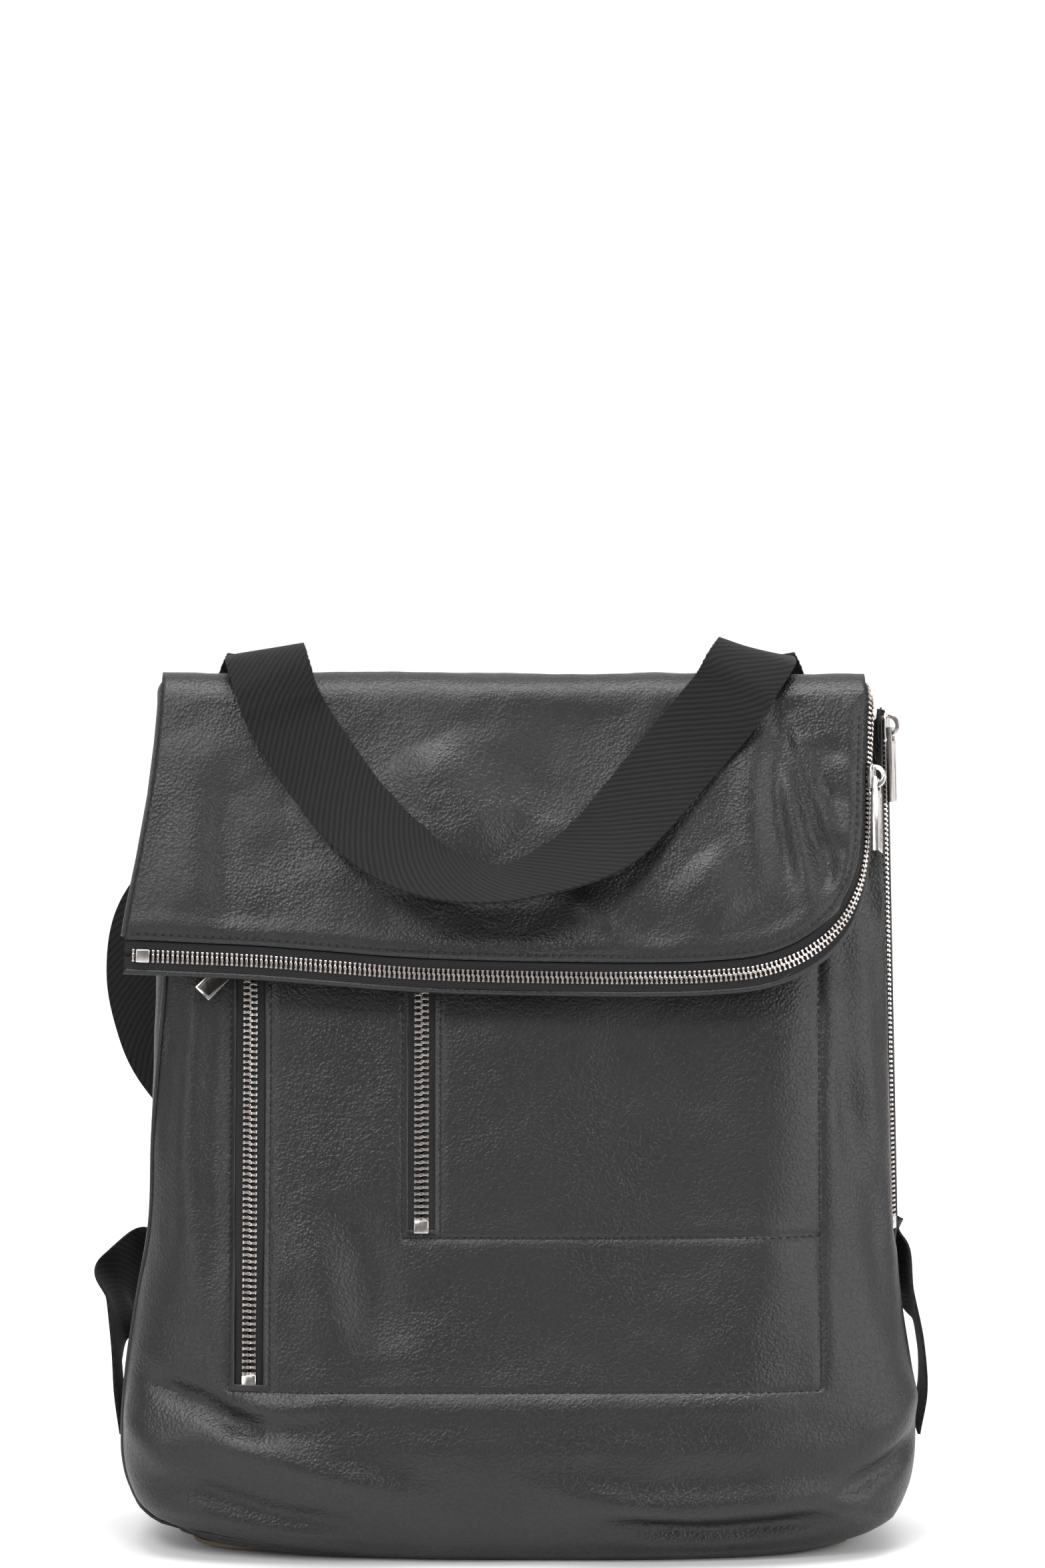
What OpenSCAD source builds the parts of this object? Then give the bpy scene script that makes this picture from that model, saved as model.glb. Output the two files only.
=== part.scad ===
// Fold-over leather backpack: a soft leather bag whose top is folded forward and held by its own weight,
// with a two-slider metal zip round the mouth, two upright front pocket zips, a webbing handle and
// two webbing shoulder straps. The front faces -Y, +X is the wearer-side right seen from the front.

/* [Bag] */
// Width across the bag at the fold
top_w = 366; // [320:2:410]
// Widest width, low down where the bag bulges
base_w = 398; // [350:2:440]
// Height of the widest place above the floor
bulge_z = 60; // [45:1:80]
// Height of the top of the fold
bag_h = 441; // [400:1:500]
// Depth from front to back at the bulge
bag_d = 140; // [110:2:170]
// Leather thickness
leather_t = 1.8; // [1.2:0.1:2.5]
// Thickness of the base leather
base_t = 2.4; // [2:0.1:4]
// How far the lining hangs inside the leather
lining_inset = 10; // [8:0.5:14]
// Thickness of the stiffening board in the base
board_t = 2; // [1.5:0.5:3]

/* [Flap] */
// Radius of the rolled fold, to the outside of the leather
fold_r = 19; // [16:0.5:24]
// Length of the folded-over outer leather, from the fold to its stitched edge
flap_len = 128; // [100:1:150]
// Lean of the flap forward from the vertical, in degrees
flap_lean = 17; // [14:0.5:22]
// Distance between the outer and the inner leather of the flap, at the fold
flap_gap = 11; // [9.5:0.1:12]
// Lean of the inner leather towards the outer, down the flap, in degrees
flap_taper = 2.3; // [1.5:0.1:3]
// How far the flap's free corner flares out past the fold
flap_flare = 16; // [0:1:22]
// Radius of the flap's zipped corner, to the leather's edge
corner_r = 27; // [20:1:36]

/* [Zips] */
// Width of the main zip's chain of teeth
main_chain_w = 5.6; // [5:0.1:7]
// Pitch of the main zip's teeth on one side
main_pitch = 2.45; // [2:0.05:3]
// Width of the pocket zips' chains
pocket_chain_w = 6.7; // [6:0.1:8]
// Pitch of the pocket zips' teeth on one side
pocket_pitch = 3.1; // [2.6:0.1:3.6]
// Width of the opening in the leather that a zip lies in
zip_window = 15; // [13:0.5:18]
// Thickness of the woven zip tape
tape_t = 0.9; // [0.6:0.1:1.2]
// Height of a tooth above its tape
tooth_h = 1.4; // [1:0.1:2]
// Distance of the long pocket zip from the middle
long_zip_x = 136; // [100:1:145]
// Distance of the short pocket zip from the middle
short_zip_x = 50; // [30:1:80]
// Height of the upper end of both pocket zips
pocket_top_z = 322; // [300:1:330]
// Height of the long zip's lower end
long_zip_z = 94; // [85:1:140]
// Height of the short zip's lower end
short_zip_z = 170; // [150:1:220]
// Height of the side zip's lower end
side_zip_z = 158; // [140:1:200]
// Turn of the side zip towards the front, in degrees
side_turn = 18; // [0:1:22]

/* [Sliders and pullers] */
// Length of a slider along its zip
slider_len = 13; // [11:0.5:16]
// Radius of a slider's ring, to the outside
bail_r = 6; // [5:0.25:7]
// Thickness of a slider's ring
bail_t = 2.2; // [1.8:0.1:2.6]
// Length of a puller
puller_len = 38; // [30:1:45]
// Width of a puller
puller_w = 9.5; // [8:0.5:12]
// Thickness of a puller
puller_t = 2.8; // [2:0.1:3.4]
// Sideways swing at which the long zip's puller lies
puller_swing = 45; // [0:5:60]
// Sideways swing at which the short zip's puller lies
short_swing = 64; // [0:2:80]

/* [Webbing] */
// Width of the webbing
web_w = 40; // [30:1:50]
// Thickness of the webbing
web_t = 1.8; // [1.4:0.1:2.4]
// Bar thickness of the strap adjusters
adjuster_bar = 3.4; // [2.8:0.2:4.2]

/* [Hidden] */
$fn = 48;
slack = 0.3;                              // clearance between pieces that stand side by side
fold_z = bag_h - fold_r;                  // height of the fold's axis
back_top = fold_r + 12;                   // back leather at the fold, from the row's middle plane
fold_y = back_top - fold_r;               // the fold's axis, front to back
front_y = -0.543 * bag_d;                 // front leather at the bulge
back_y = bag_d + front_y;                 // back leather at the bulge
flap_in = fold_r - leather_t - flap_gap;  // outer face of the flap's inner leather, from the fold's axis
throat_y = fold_y - flap_in + leather_t + slack + 1;
throat_z = fold_z - 4;                    // where the front leather turns into the fold
strip_w = zip_window - 0.6;               // both tapes of one zip, side by side
tape_gap = 1.2;                           // gap between the two tapes, where a slider's neck runs
tooth_top = tape_t + tooth_h;
plate_t = 1.2;                            // thickness of a slider's two plates
plate_z = tooth_top + slack;              // underside of a slider's upper plate
bail_z = plate_z + plate_t + 0.2;         // centre of a slider's ring
bail_hole = bail_r - 2.2;
hook_y = -1.7;                            // a puller's crossbar, from its slider's middle
hook_z = bail_z + 1.3;
hook_r = 1.1;                             // radius of the crossbar
window_len = bail_r + 0.1;                // a puller's window, to its far edge, from the crossbar

leather = "#262626";
webbing = "#161616";
metal = "#c9c4bf";
cloth = "#2c2b33";

// ---- the bag's leather, as level sections ----

// [height, half width] up the bag
half_widths = [
    [0, base_w/2 - 26], [4, base_w/2 - 17], [12, base_w/2 - 9], [28, base_w/2 - 3], [bulge_z, base_w/2],
    [side_zip_z, (base_w + top_w)/4 - 1], [fold_z + 8, top_w/2]
];
// [height, front leather] and [height, back leather] up the bag
fronts = [
    [0, front_y + 16], [4, front_y + 10], [12, front_y + 5], [28, front_y + 1], [bulge_z, front_y],
    [throat_z, throat_y]
];
backs = [
    [0, back_y - 12], [4, back_y - 8], [12, back_y - 4], [28, back_y - 1], [bulge_z, back_y],
    [fold_z, back_top]
];
squareness = [[0, 4], [200, 4], [fold_z, 5]];

function half_width(z) = lookup(z, half_widths);
function middle(z) = (lookup(z, fronts) + lookup(z, backs))/2;
function half_depth(z) = (lookup(z, backs) - lookup(z, fronts))/2;
function round_off(v, n) = sign(v)*pow(abs(v), 2/n);

// A point on the section at height z, at angle a, set in from the leather's face
function on_bag(z, a, inset = 0) =
    let (n = lookup(z, squareness))
    [
        (half_width(z) - inset)*round_off(cos(a), n),
        middle(z) + (half_depth(z) - inset)*round_off(sin(a), n),
        z
    ];

// The angle at which the section stands off the side seam by a distance h
function seam_angle(z, h) = asin(pow(min(1, h/half_depth(z)), lookup(z, squareness)/2));

// The front leather at x and z, and the angle at which it faces away from the front there
function front_at(x, z) =
    let (n = lookup(z, squareness))
    middle(z) - half_depth(z)*pow(1 - pow(abs(x)/half_width(z), n), 1/n);
function front_yaw(x, z) = atan((front_at(x + 1, z) - front_at(x - 1, z))/2);

// A closed skin between two grids of points that run row by row, up the bag
module skin(outer, inner) {
    rows = len(outer);
    cols = len(outer[0]);
    all = [for (g = [outer, inner]) for (r = g) for (p = r) p];
    function id(g, r, c) = (g*rows + r)*cols + c;
    function quad(a, b, c, d) = [[a, b, c], [a, c, d]];
    faces = [
        for (r = [0 : rows - 2], c = [0 : cols - 2])
            each concat(
                quad(id(0, r, c), id(0, r + 1, c), id(0, r + 1, c + 1), id(0, r, c + 1)),
                quad(id(1, r, c), id(1, r, c + 1), id(1, r + 1, c + 1), id(1, r + 1, c))
            ),
        for (r = [0 : rows - 2])
            each concat(
                quad(id(0, r, 0), id(1, r, 0), id(1, r + 1, 0), id(0, r + 1, 0)),
                quad(id(0, r, cols - 1), id(0, r + 1, cols - 1), id(1, r + 1, cols - 1), id(1, r, cols - 1))
            ),
        for (c = [0 : cols - 2])
            each concat(
                quad(id(0, 0, c), id(0, 0, c + 1), id(1, 0, c + 1), id(1, 0, c)),
                quad(id(0, rows - 1, c), id(1, rows - 1, c), id(1, rows - 1, c + 1), id(0, rows - 1, c + 1))
            )
    ];
    polyhedron(all, faces, convexity = 6);
}

// Heights of the rows of points up a panel: close at the base and at the side zip's end
function panel_rows(top) = [
    base_t, 5, 8, 13, 20, 30, 45, bulge_z, 80, 105, 130, side_zip_z - 6, side_zip_z - 4,
    200, 250, 300, 350, 385, top
];

// One wall of the bag, from the left seam round to the zip or seam on the right
module bag_wall(front, top) {
    cols = 30;
    rows = panel_rows(top);
    turn = front ? 180 : 0;
    function open(z) = z > side_zip_z - 5 ? zip_window/2 + 0.8 : slack/2;
    function angle(z, c) =
        let (left = seam_angle(z, slack/2 + leather_t/2), right = seam_angle(z, open(z)))
        front ? 180 + left + (180 - left - right)*c/cols : right + (180 - left - right)*c/cols;
    skin(
        [for (z = rows) [for (c = [0 : cols]) on_bag(z, angle(z, c))]],
        [for (z = rows) [for (c = [0 : cols]) on_bag(z, angle(z, c), leather_t)]]
    );
}

module section(z, inset) {
    polygon([for (a = [0 : 7.5 : 352.5]) let (p = on_bag(z, a, inset)) [p.x, p.y]]);
}

module base_panel() {
    color(leather) linear_extrude(base_t) section(base_t, 0);
}

module base_board() {
    color("#6b5b45") translate([0, 0, base_t]) linear_extrude(board_t) section(base_t, lining_inset);
}

module front_panel() {
    color(leather) difference() {
        bag_wall(true, throat_z);
        pocket_place(-long_zip_x, long_zip_z) window_cut(pocket_run(-long_zip_x, long_zip_z));
        pocket_place(-short_zip_x, short_zip_z) window_cut(pocket_run(-short_zip_x, short_zip_z));
    }
}

module back_panel() {
    color(leather) bag_wall(false, fold_z - 2);
}

// A leather strip that closes the left seam, between the front and the back leather
module left_seam_binding() {
    h = (leather_t - slack)/2;
    rows = panel_rows(throat_z);
    function row(inset) = [
        for (z = rows)
            [for (s = [-1, 1]) let (p = on_bag(z, 180 - s*seam_angle(z, h), inset)) [p.x, p.y, z]]
    ];
    color(leather) skin(
        [for (r = row(0)) [r[1], r[0]]],
        [for (r = row(lining_inset - slack)) [r[1], r[0]]]
    );
}

// The cloth bag inside, open at the throat
module lining() {
    cloth_t = 0.6;
    floor_z = base_t + board_t + 0.2;
    top = throat_z - 6;
    rows = [floor_z + 2.6, 20, 40, bulge_z, 110, 160, 220, 300, 360, top];
    steps = 48;
    function ring(z, inset) = [for (i = [0 : steps - 1]) on_bag(z, i*360/steps, inset)];
    outer = [ring(floor_z, lining_inset + 3), for (z = rows) ring(z, lining_inset)];
    inner = [
        [for (p = ring(floor_z, lining_inset + 3 + cloth_t)) [p.x, p.y, floor_z + cloth_t]],
        for (z = rows) ring(z, lining_inset + cloth_t)
    ];
    levels = len(outer);
    function id(g, r, c) = (g*levels + r)*steps + c % steps;
    faces = [
        for (r = [0 : levels - 2], c = [0 : steps - 1])
            each [
                [id(0, r, c), id(0, r + 1, c), id(0, r + 1, c + 1)], [id(0, r, c), id(0, r + 1, c + 1), id(0, r, c + 1)],
                [id(1, r, c), id(1, r + 1, c + 1), id(1, r + 1, c)], [id(1, r, c), id(1, r, c + 1), id(1, r + 1, c + 1)]
            ],
        for (c = [0 : steps - 1])
            each [
                [id(0, levels - 1, c), id(1, levels - 1, c), id(1, levels - 1, c + 1)],
                [id(0, levels - 1, c), id(1, levels - 1, c + 1), id(0, levels - 1, c + 1)]
            ],
        [for (c = [0 : steps - 1]) id(0, 0, c)],
        [for (c = [0 : steps - 1]) id(1, 0, steps - 1 - c)]
    ];
    color(cloth) polyhedron([for (g = [outer, inner]) for (r = g) for (p = r) p], faces, convexity = 6);
}

// ---- zips, drawn up their own Y axis, with +Z outwards and the tape's back at z = 0 ----

module comb(count, pitch, chain_w) {
    spine = 0.9;
    reach = chain_w/2 + 0.35;
    tooth = 0.42*pitch;
    translate([0, 0, tape_t]) linear_extrude(tooth_h) polygon(concat(
        [[-chain_w/2, 0]],
        [for (i = [0 : count - 1]) each [
            [-chain_w/2 + spine, i*pitch], [reach - chain_w/2, i*pitch],
            [reach - chain_w/2, i*pitch + tooth], [-chain_w/2 + spine, i*pitch + tooth]
        ]],
        [[-chain_w/2 + spine, count*pitch - slack], [-chain_w/2, count*pitch - slack]]
    ));
}

// Both rows of a closed run
module chain(run, pitch, chain_w) {
    count = floor(run/pitch);
    comb(count, pitch, chain_w);
    translate([0, pitch/2, 0]) mirror([1, 0, 0]) comb(count - 1, pitch, chain_w);
}

// Both tapes of a run
module tapes(run) {
    for (side = [0, 1])
        mirror([side, 0, 0]) translate([tape_gap/2, 0, 0]) cube([strip_w/2 - tape_gap/2, run, tape_t]);
}

// Metal end block, clamped over both tapes
module stop_block(chain_w) {
    difference() {
        translate([-chain_w/2 - 0.3, 0, -1]) cube([chain_w + 0.6, 6.5, tooth_top + 1.3]);
        translate([-chain_w, -1, 0]) cube([2*chain_w, 8.5, tape_t]);
    }
    translate([-tape_gap/2 + 0.1, 0, -0.5]) cube([tape_gap - 0.2, 6.5, tape_t + 1]);
}

module window_cut(run) {
    translate([-zip_window/2, -8 - slack, -12]) cube([zip_window, run + 14, 30]);
}

// One cast slider, with its ring, centred on its own middle
module slider(chain_w) {
    wide = chain_w + 4.4;
    narrow = chain_w + 3;
    half = slider_len/2;
    outline = [
        [-narrow/2, -half], [narrow/2, -half], [wide/2, 0.1*half], [wide/2, 0.6*half],
        [narrow/2 - 1.2, half], [-narrow/2 + 1.2, half], [-wide/2, 0.6*half], [-wide/2, 0.1*half]
    ];
    color(metal) union() {
        translate([0, 0, plate_z]) linear_extrude(plate_t) polygon(outline);
        translate([0, 0, -slack - 1]) linear_extrude(1) polygon(outline);
        translate([-0.45, half - 5, -slack - 0.5]) cube([0.9, 3.6, plate_z + slack + 1]);
        for (side = [-1, 1])
            translate([side*(narrow/2 - 0.5) - 0.5, -half, tape_t + slack])
                cube([1, slider_len*0.75, plate_z - tape_t]);
        difference() {
            translate([0, 0, bail_z]) rotate([90, 0, 90]) linear_extrude(bail_t, center = true) difference() {
                circle(bail_r);
                circle(bail_hole);
            }
            translate([-5, -10, -10]) cube([10, 20, 10 + plate_z + plate_t/2]);
        }
    }
}

// A puller, hooked through its slider's ring, its free end towards -Y
module puller() {
    color(metal) translate([0, hook_y, hook_z]) difference() {
        union() {
            rotate([0, 90, 0]) cylinder(r = hook_r, h = puller_w, center = true);
            for (side = [-1, 1])
                translate([side*(puller_w/2 - 1.1) - 1.1, -window_len - 1, -hook_r])
                    cube([2.2, window_len + 1, 2*hook_r]);
            translate([-puller_w/2, -puller_len + hook_r, -puller_t/2])
                cube([puller_w, puller_len - hook_r - window_len, puller_t]);
        }
        for (face = [0, 1])
            mirror([0, 0, face]) translate([-puller_w/2 + 1.6, -puller_len + hook_r + 1.6, puller_t/2 - 0.4])
                cube([puller_w - 3.2, puller_len - hook_r - window_len - 4.2, 1]);
    }
}

// ---- places ----

// The flap's own frame: Y runs up the flap to the fold's axis, +Z outwards
module flap_place() {
    translate([0, fold_y, fold_z]) rotate([90 - flap_lean, 0, 0]) children();
}

// A pocket zip's frame: its origin at the lower end, Y up the zip
function pocket_rise(x, z) = front_at(x, pocket_top_z) - front_at(x, z);
function pocket_run(x, z) = norm([pocket_top_z - z, pocket_rise(x, z)]);
module pocket_place(x, z) {
    yaw = front_yaw(x, (z + pocket_top_z)/2);
    translate([x, front_at(x, z), z])
        rotate([90 - atan(pocket_rise(x, z)/(pocket_top_z - z)), 0, 0])
            rotate([0, yaw, 0]) translate([0, 0, -tape_t]) children();
}

// The side zip's frame: its origin at the lower end, Y up the zip, +Z to the right
side_top_z = fold_z + 2;
side_low = [half_width(side_zip_z), middle(side_zip_z), side_zip_z];
side_high = [half_width(side_top_z), middle(side_top_z), side_top_z];
side_run = norm(side_high - side_low);
module side_place() {
    d = side_high - side_low;
    translate(side_low) rotate([-atan(d.y/d.z), atan(d.x/d.z), 0]) rotate([90, 0, 90])
        rotate([0, -side_turn, 0]) translate([0, 0, -tape_t - 0.2]) children();
}

// ---- pocket zips ----

module long_zip_tape() {
    run = pocket_run(-long_zip_x, long_zip_z);
    color(webbing) pocket_place(-long_zip_x, long_zip_z) translate([0, -6, 0]) tapes(run + 9);
}

module long_zip_teeth() {
    run = pocket_run(-long_zip_x, long_zip_z);
    color(metal) pocket_place(-long_zip_x, long_zip_z)
        translate([0, 2, 0]) chain(run - 14, pocket_pitch, pocket_chain_w);
}

module long_zip_stop() {
    color(metal) pocket_place(-long_zip_x, long_zip_z) translate([0, -4.8, 0]) stop_block(pocket_chain_w);
}

module short_zip_tape() {
    run = pocket_run(-short_zip_x, short_zip_z);
    color(webbing) pocket_place(-short_zip_x, short_zip_z) translate([0, -6, 0]) tapes(run + 9);
}

module short_zip_teeth() {
    run = pocket_run(-short_zip_x, short_zip_z);
    color(metal) pocket_place(-short_zip_x, short_zip_z)
        translate([0, 2, 0]) chain(run - 14, pocket_pitch, pocket_chain_w);
}

module short_zip_stop() {
    color(metal) pocket_place(-short_zip_x, short_zip_z) translate([0, -4.8, 0]) stop_block(pocket_chain_w);
}

// Where a pocket zip's slider stands when the pocket is shut
function parked(x, z) = pocket_run(x, z) - 12;

module long_slider() {
    pocket_place(-long_zip_x, long_zip_z) translate([0, parked(-long_zip_x, long_zip_z), 0])
        slider(pocket_chain_w);
}

// This puller hangs off to the left, swung round the near side of its ring
module long_puller() {
    pivot = [0, -(bail_r + bail_hole)/2, 0];
    pocket_place(-long_zip_x, long_zip_z) translate([0, parked(-long_zip_x, long_zip_z), 0])
        translate(pivot) rotate([0, 0, -puller_swing]) translate(-pivot) puller();
}

module short_slider() {
    pocket_place(-short_zip_x, short_zip_z) translate([0, parked(-short_zip_x, short_zip_z), 0])
        slider(pocket_chain_w);
}

module short_puller() {
    pivot = [0, -(bail_r + bail_hole)/2, 0];
    pocket_place(-short_zip_x, short_zip_z) translate([0, parked(-short_zip_x, short_zip_z), 0])
        translate(pivot) rotate([0, 0, -short_swing]) translate(-pivot) puller();
}

// A cloth pocket that follows the front leather, from its zip across to the right
module pocket_bag(left, right, low, depth) {
    t = 1;
    xs = [for (i = [0 : 12]) left + (right - left)*i/12];
    zs = [for (i = [0 : 8]) low + (pocket_top_z - low)*i/8];
    skin(
        [for (z = zs) [for (x = xs) [x, front_at(x, z) + leather_t + depth, z]]],
        [for (z = zs) [for (x = xs) [x, front_at(x, z) + leather_t + depth + t, z]]]
    );
}

module long_pocket_bag() {
    color(cloth) pocket_bag(-long_zip_x - zip_window/2, 100, long_zip_z - 6, 3.9);
}

module short_pocket_bag() {
    color(cloth) pocket_bag(-short_zip_x - zip_window/2, 120, short_zip_z - 6, 1.7);
}

// ---- side zip, down the right-hand seam ----

side_slider_gap = 9.5;                    // side slider's middle below the fold end of its zip
side_chain = side_run - side_slider_gap;

module side_zip_tape() {
    color(webbing) side_place() translate([0, 0, 0]) tapes(side_run - 1);
}

module side_zip_teeth() {
    color(metal) side_place() translate([0, 8, 0]) chain(side_chain - 8, main_pitch, main_chain_w);
}

module side_zip_stop() {
    color(metal) side_place() translate([0, 1, 0]) stop_block(main_chain_w);
}

module side_slider() {
    side_place() translate([0, side_chain, 0]) slider(main_chain_w);
}

module side_puller() {
    side_place() translate([0, side_chain, 0]) puller();
}

// ---- flap ----

flap_right = top_w/2 - 11;                // the outer leather's right edge
flap_left = -(top_w/2 - 2);
corner_x = flap_right - corner_r;
corner_y = -(flap_len - corner_r);
strip_mid = zip_window/2;
hem_drop = 3.556;                         // the zip's strip falls this far behind the flap's face at the bottom
hem_bevel = asin(hem_drop/(strip_mid + strip_w/2));
side_bevel = 72;                          // and by this at the right-hand edge
strip_n = fold_r - leather_t - slack;     // the strip starts under the outer leather's edge

// Outer face of the flap's inner leather, from the fold's axis, at y down the flap
function inner_n(y) = flap_in - y*tan(flap_taper);

// The flap's outline, grown by gx at the right and gy at the bottom, from y0 below the fold's axis
module flap_outline(gx, gy, y0) {
    polygon(concat(
        [[flap_left, -y0], [flap_left - flap_flare/3, -0.45*flap_len], [flap_left - flap_flare, -flap_len - gy]],
        [for (a = [-90 : 7.5 : 0]) [corner_x + (corner_r + gx)*cos(a), corner_y + (corner_r + gy)*sin(a)]],
        [[flap_right + gx, -y0]]
    ));
}

module flap_outer() {
    color(leather) flap_place() translate([0, 0, fold_r - leather_t])
        linear_extrude(leather_t) flap_outline(0, 0, 2);
}

// Moves children onto the outer face of the inner leather
module on_inner() {
    flap_place() translate([0, 0, flap_in]) rotate([-flap_taper, 0, 0]) children();
}

inner_edge = zip_window + 1.6;            // the inner leather reaches this far below the outer leather's edge
inner_side = -3.4;                        // and stops this far short of its right edge, clear of the slider

module flap_inner() {
    color(leather) on_inner() translate([0, 0, -leather_t])
        linear_extrude(leather_t) flap_outline(inner_side, inner_edge, 10);
}

// Cloth inside the flap, one layer against each leather
module flap_lining() {
    cloth_t = 0.5;
    module cut() {
        linear_extrude(cloth_t) intersection() {
            flap_outline(-6, -6, 12);
            translate([flap_left + 5, -flap_len, 0]) square([2*top_w, flap_len]);
        }
    }
    color(cloth) {
        on_inner() translate([0, 0, slack]) cut();
        flap_place() translate([0, 0, strip_n - cloth_t]) cut();
    }
}

// Narrow leather wall that closes the flap's left edge
module flap_side_wall() {
    stations = [[flap_left, -12], [flap_left - flap_flare/3, -0.45*flap_len], [flap_left - flap_flare, -flap_len]];
    function rows(inset) = [
        for (s = stations) [
            [s.x + inset, s.y, inner_n(s.y) + slack],
            [s.x + inset, s.y, strip_n]
        ]
    ];
    color(leather) flap_place() skin(rows(0), rows(leather_t));
}

// Rolled hem along the inner leather's lower edge, below the zip
module flap_hem() {
    color(leather) on_inner() linear_extrude(1.2) difference() {
        flap_outline(inner_side, inner_edge, 20);
        flap_outline(inner_side, inner_edge - 1.3, 20);
        translate([-top_w, corner_y - corner_r*0.6, 0]) square([2*top_w, flap_len]);
        translate([-1.2*top_w, -flap_len - inner_edge - 1, 0]) square([0.72*top_w, flap_len]);
        translate([corner_x, -flap_len - inner_edge - 1, 0]) square([top_w, flap_len]);
    }
}

// Moves children that are drawn up Y onto the strip's slope, with +Z facing out and away
module on_bevel(b) {
    translate([strip_mid*cos(b), 0, strip_n - strip_mid*sin(b)]) rotate([0, b, 0])
        translate([0, 0, -tape_t]) children();
}

// The right-hand run goes up Y at the flap's right edge, and the bottom run goes along -X at its lower edge
module right_run() {
    flap_place() translate([flap_right, 0, 0]) on_bevel(side_bevel) children();
}
module bottom_run() {
    flap_place() translate([corner_x, -flap_len, 0]) rotate([0, 0, -90]) on_bevel(hem_bevel)
        mirror([0, 1, 0]) children();
}

// Between them the strip turns through the corner, from -90 at the bottom to 0 at the right
function corner_bevel(a) = let (u = (a + 90)/90) hem_bevel + (side_bevel - hem_bevel)*u*u*u*(10 - 15*u + 6*u*u);
function corner_point(a, across, up) =
    let (b = corner_bevel(a), r = corner_r + across*cos(b) + up*sin(b))
    [corner_x + r*cos(a), corner_y + r*sin(a), strip_n - across*sin(b) + up*cos(b)];
module corner_run(a) {
    flap_place() translate([corner_x, corner_y, 0]) rotate([0, 0, a]) translate([corner_r, 0, 0])
        on_bevel(corner_bevel(a)) children();
}

bottom_len = corner_x - flap_left + 2;
run_top = 8;                              // the right-hand run stops this far short of the fold's axis
flap_slider_s = 36;                       // the flap slider's middle, below the fold's axis
closed_top = corner_y + flap_slider_s;    // minus this is the closed length of the right-hand run

module flap_zip_tape() {
    edges = [[strip_mid - strip_w/2, strip_mid - tape_gap/2], [strip_mid + tape_gap/2, strip_mid + strip_w/2]];
    angles = [for (i = [0 : 22]) -89.8 + 89.6*i/22];
    color(webbing) {
        bottom_run() tapes(bottom_len);
        right_run() translate([0, corner_y, 0]) tapes(-corner_y - run_top);
        flap_place() for (e = edges)
            skin(
                [for (a = angles) [corner_point(a, e[0], 0), corner_point(a, e[1], 0)]],
                [for (a = angles) [corner_point(a, e[0], -tape_t), corner_point(a, e[1], -tape_t)]]
            );
    }
}

module flap_zip_teeth() {
    teeth_r = corner_r + 0.7*strip_mid;
    step = main_pitch/teeth_r*180/PI;
    tooth = 0.42*main_pitch;
    color(metal) {
        bottom_run() chain(bottom_len - 9, main_pitch, main_chain_w);
        right_run() translate([0, corner_y + main_pitch/2, 0])
            chain(-closed_top - main_pitch, main_pitch, main_chain_w);
        for (a = [-90 + step : step : -step/2]) {
            corner_run(a) translate([-main_chain_w/2, -tooth/2, tape_t + 0.16])
                cube([main_chain_w/2 + 0.35, tooth, tooth_h]);
            corner_run(a - step/2) translate([-0.35, -tooth/2, tape_t + 0.16])
                cube([main_chain_w/2 + 0.35, tooth, tooth_h]);
        }
    }
}

module flap_zip_stop() {
    color(metal) bottom_run() translate([0, bottom_len - 8, 0]) stop_block(main_chain_w);
}

module flap_slider() {
    right_run() translate([0, -flap_slider_s, 0]) slider(main_chain_w);
}

module flap_puller() {
    right_run() translate([0, -flap_slider_s, 0]) puller();
}

// ---- what crosses the fold ----

// Moves children so that X and Y become the plane across the fold, and Z runs to the right
module fold_place(x) {
    translate([x, fold_y, fold_z]) rotate([90, 0, 90]) children();
}

// Outer leather rolled over the top, from the back panel to the flap
module fold_leather() {
    color(leather) fold_place(flap_left) rotate([0, 0, -4]) rotate_extrude(angle = 187 - flap_lean - 4)
        translate([fold_r - leather_t, 0]) square([leather_t, flap_right - flap_left]);
}

// Inner leather turned back on itself at the mouth, from the front panel to the flap's inner leather
module fold_crease() {
    in_r = 1.95;
    mid_y = throat_y - in_r;
    color(leather) translate([flap_left + 3, mid_y, throat_z + 0.3]) rotate([90, 0, 90]) {
        rotate_extrude(angle = 180) translate([in_r, 0]) square([leather_t, flap_right - flap_left - 4]);
        translate([-in_r - leather_t, -2.4, 0]) cube([leather_t, 2.4, flap_right - flap_left - 4]);
    }
}

// Open run of the main zip over the fold: both tapes, with a row of teeth on each
module fold_zip() {
    x = strip_mid*cos(side_bevel);
    n = strip_n - strip_mid*sin(side_bevel);
    module profile() {
        translate([n, x]) rotate(90 + side_bevel) mirror([0, 1]) translate([0, -tape_t]) children();
    }
    module both() {
        for (side = [0, 1]) mirror([side, 0]) translate([tape_gap/2, 0]) square([strip_w/2 - tape_gap/2, tape_t]);
    }
    module rows() {
        for (side = [0, 1]) mirror([side, 0]) translate([tape_gap/2 + 0.4, tape_t]) square([2.2, tooth_h]);
    }
    sweep = 180 - flap_lean - 5;
    fold_place(flap_right) {
        color(webbing) rotate([0, 0, 5]) rotate_extrude(angle = sweep) profile() both();
        color(metal) rotate([0, 0, 9]) rotate_extrude(angle = sweep - 8) profile() rows();
    }
    color(webbing) right_run() translate([0, -run_top + slack, 0]) tapes(run_top - slack - 0.1);
}

// ---- webbing ----

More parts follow.
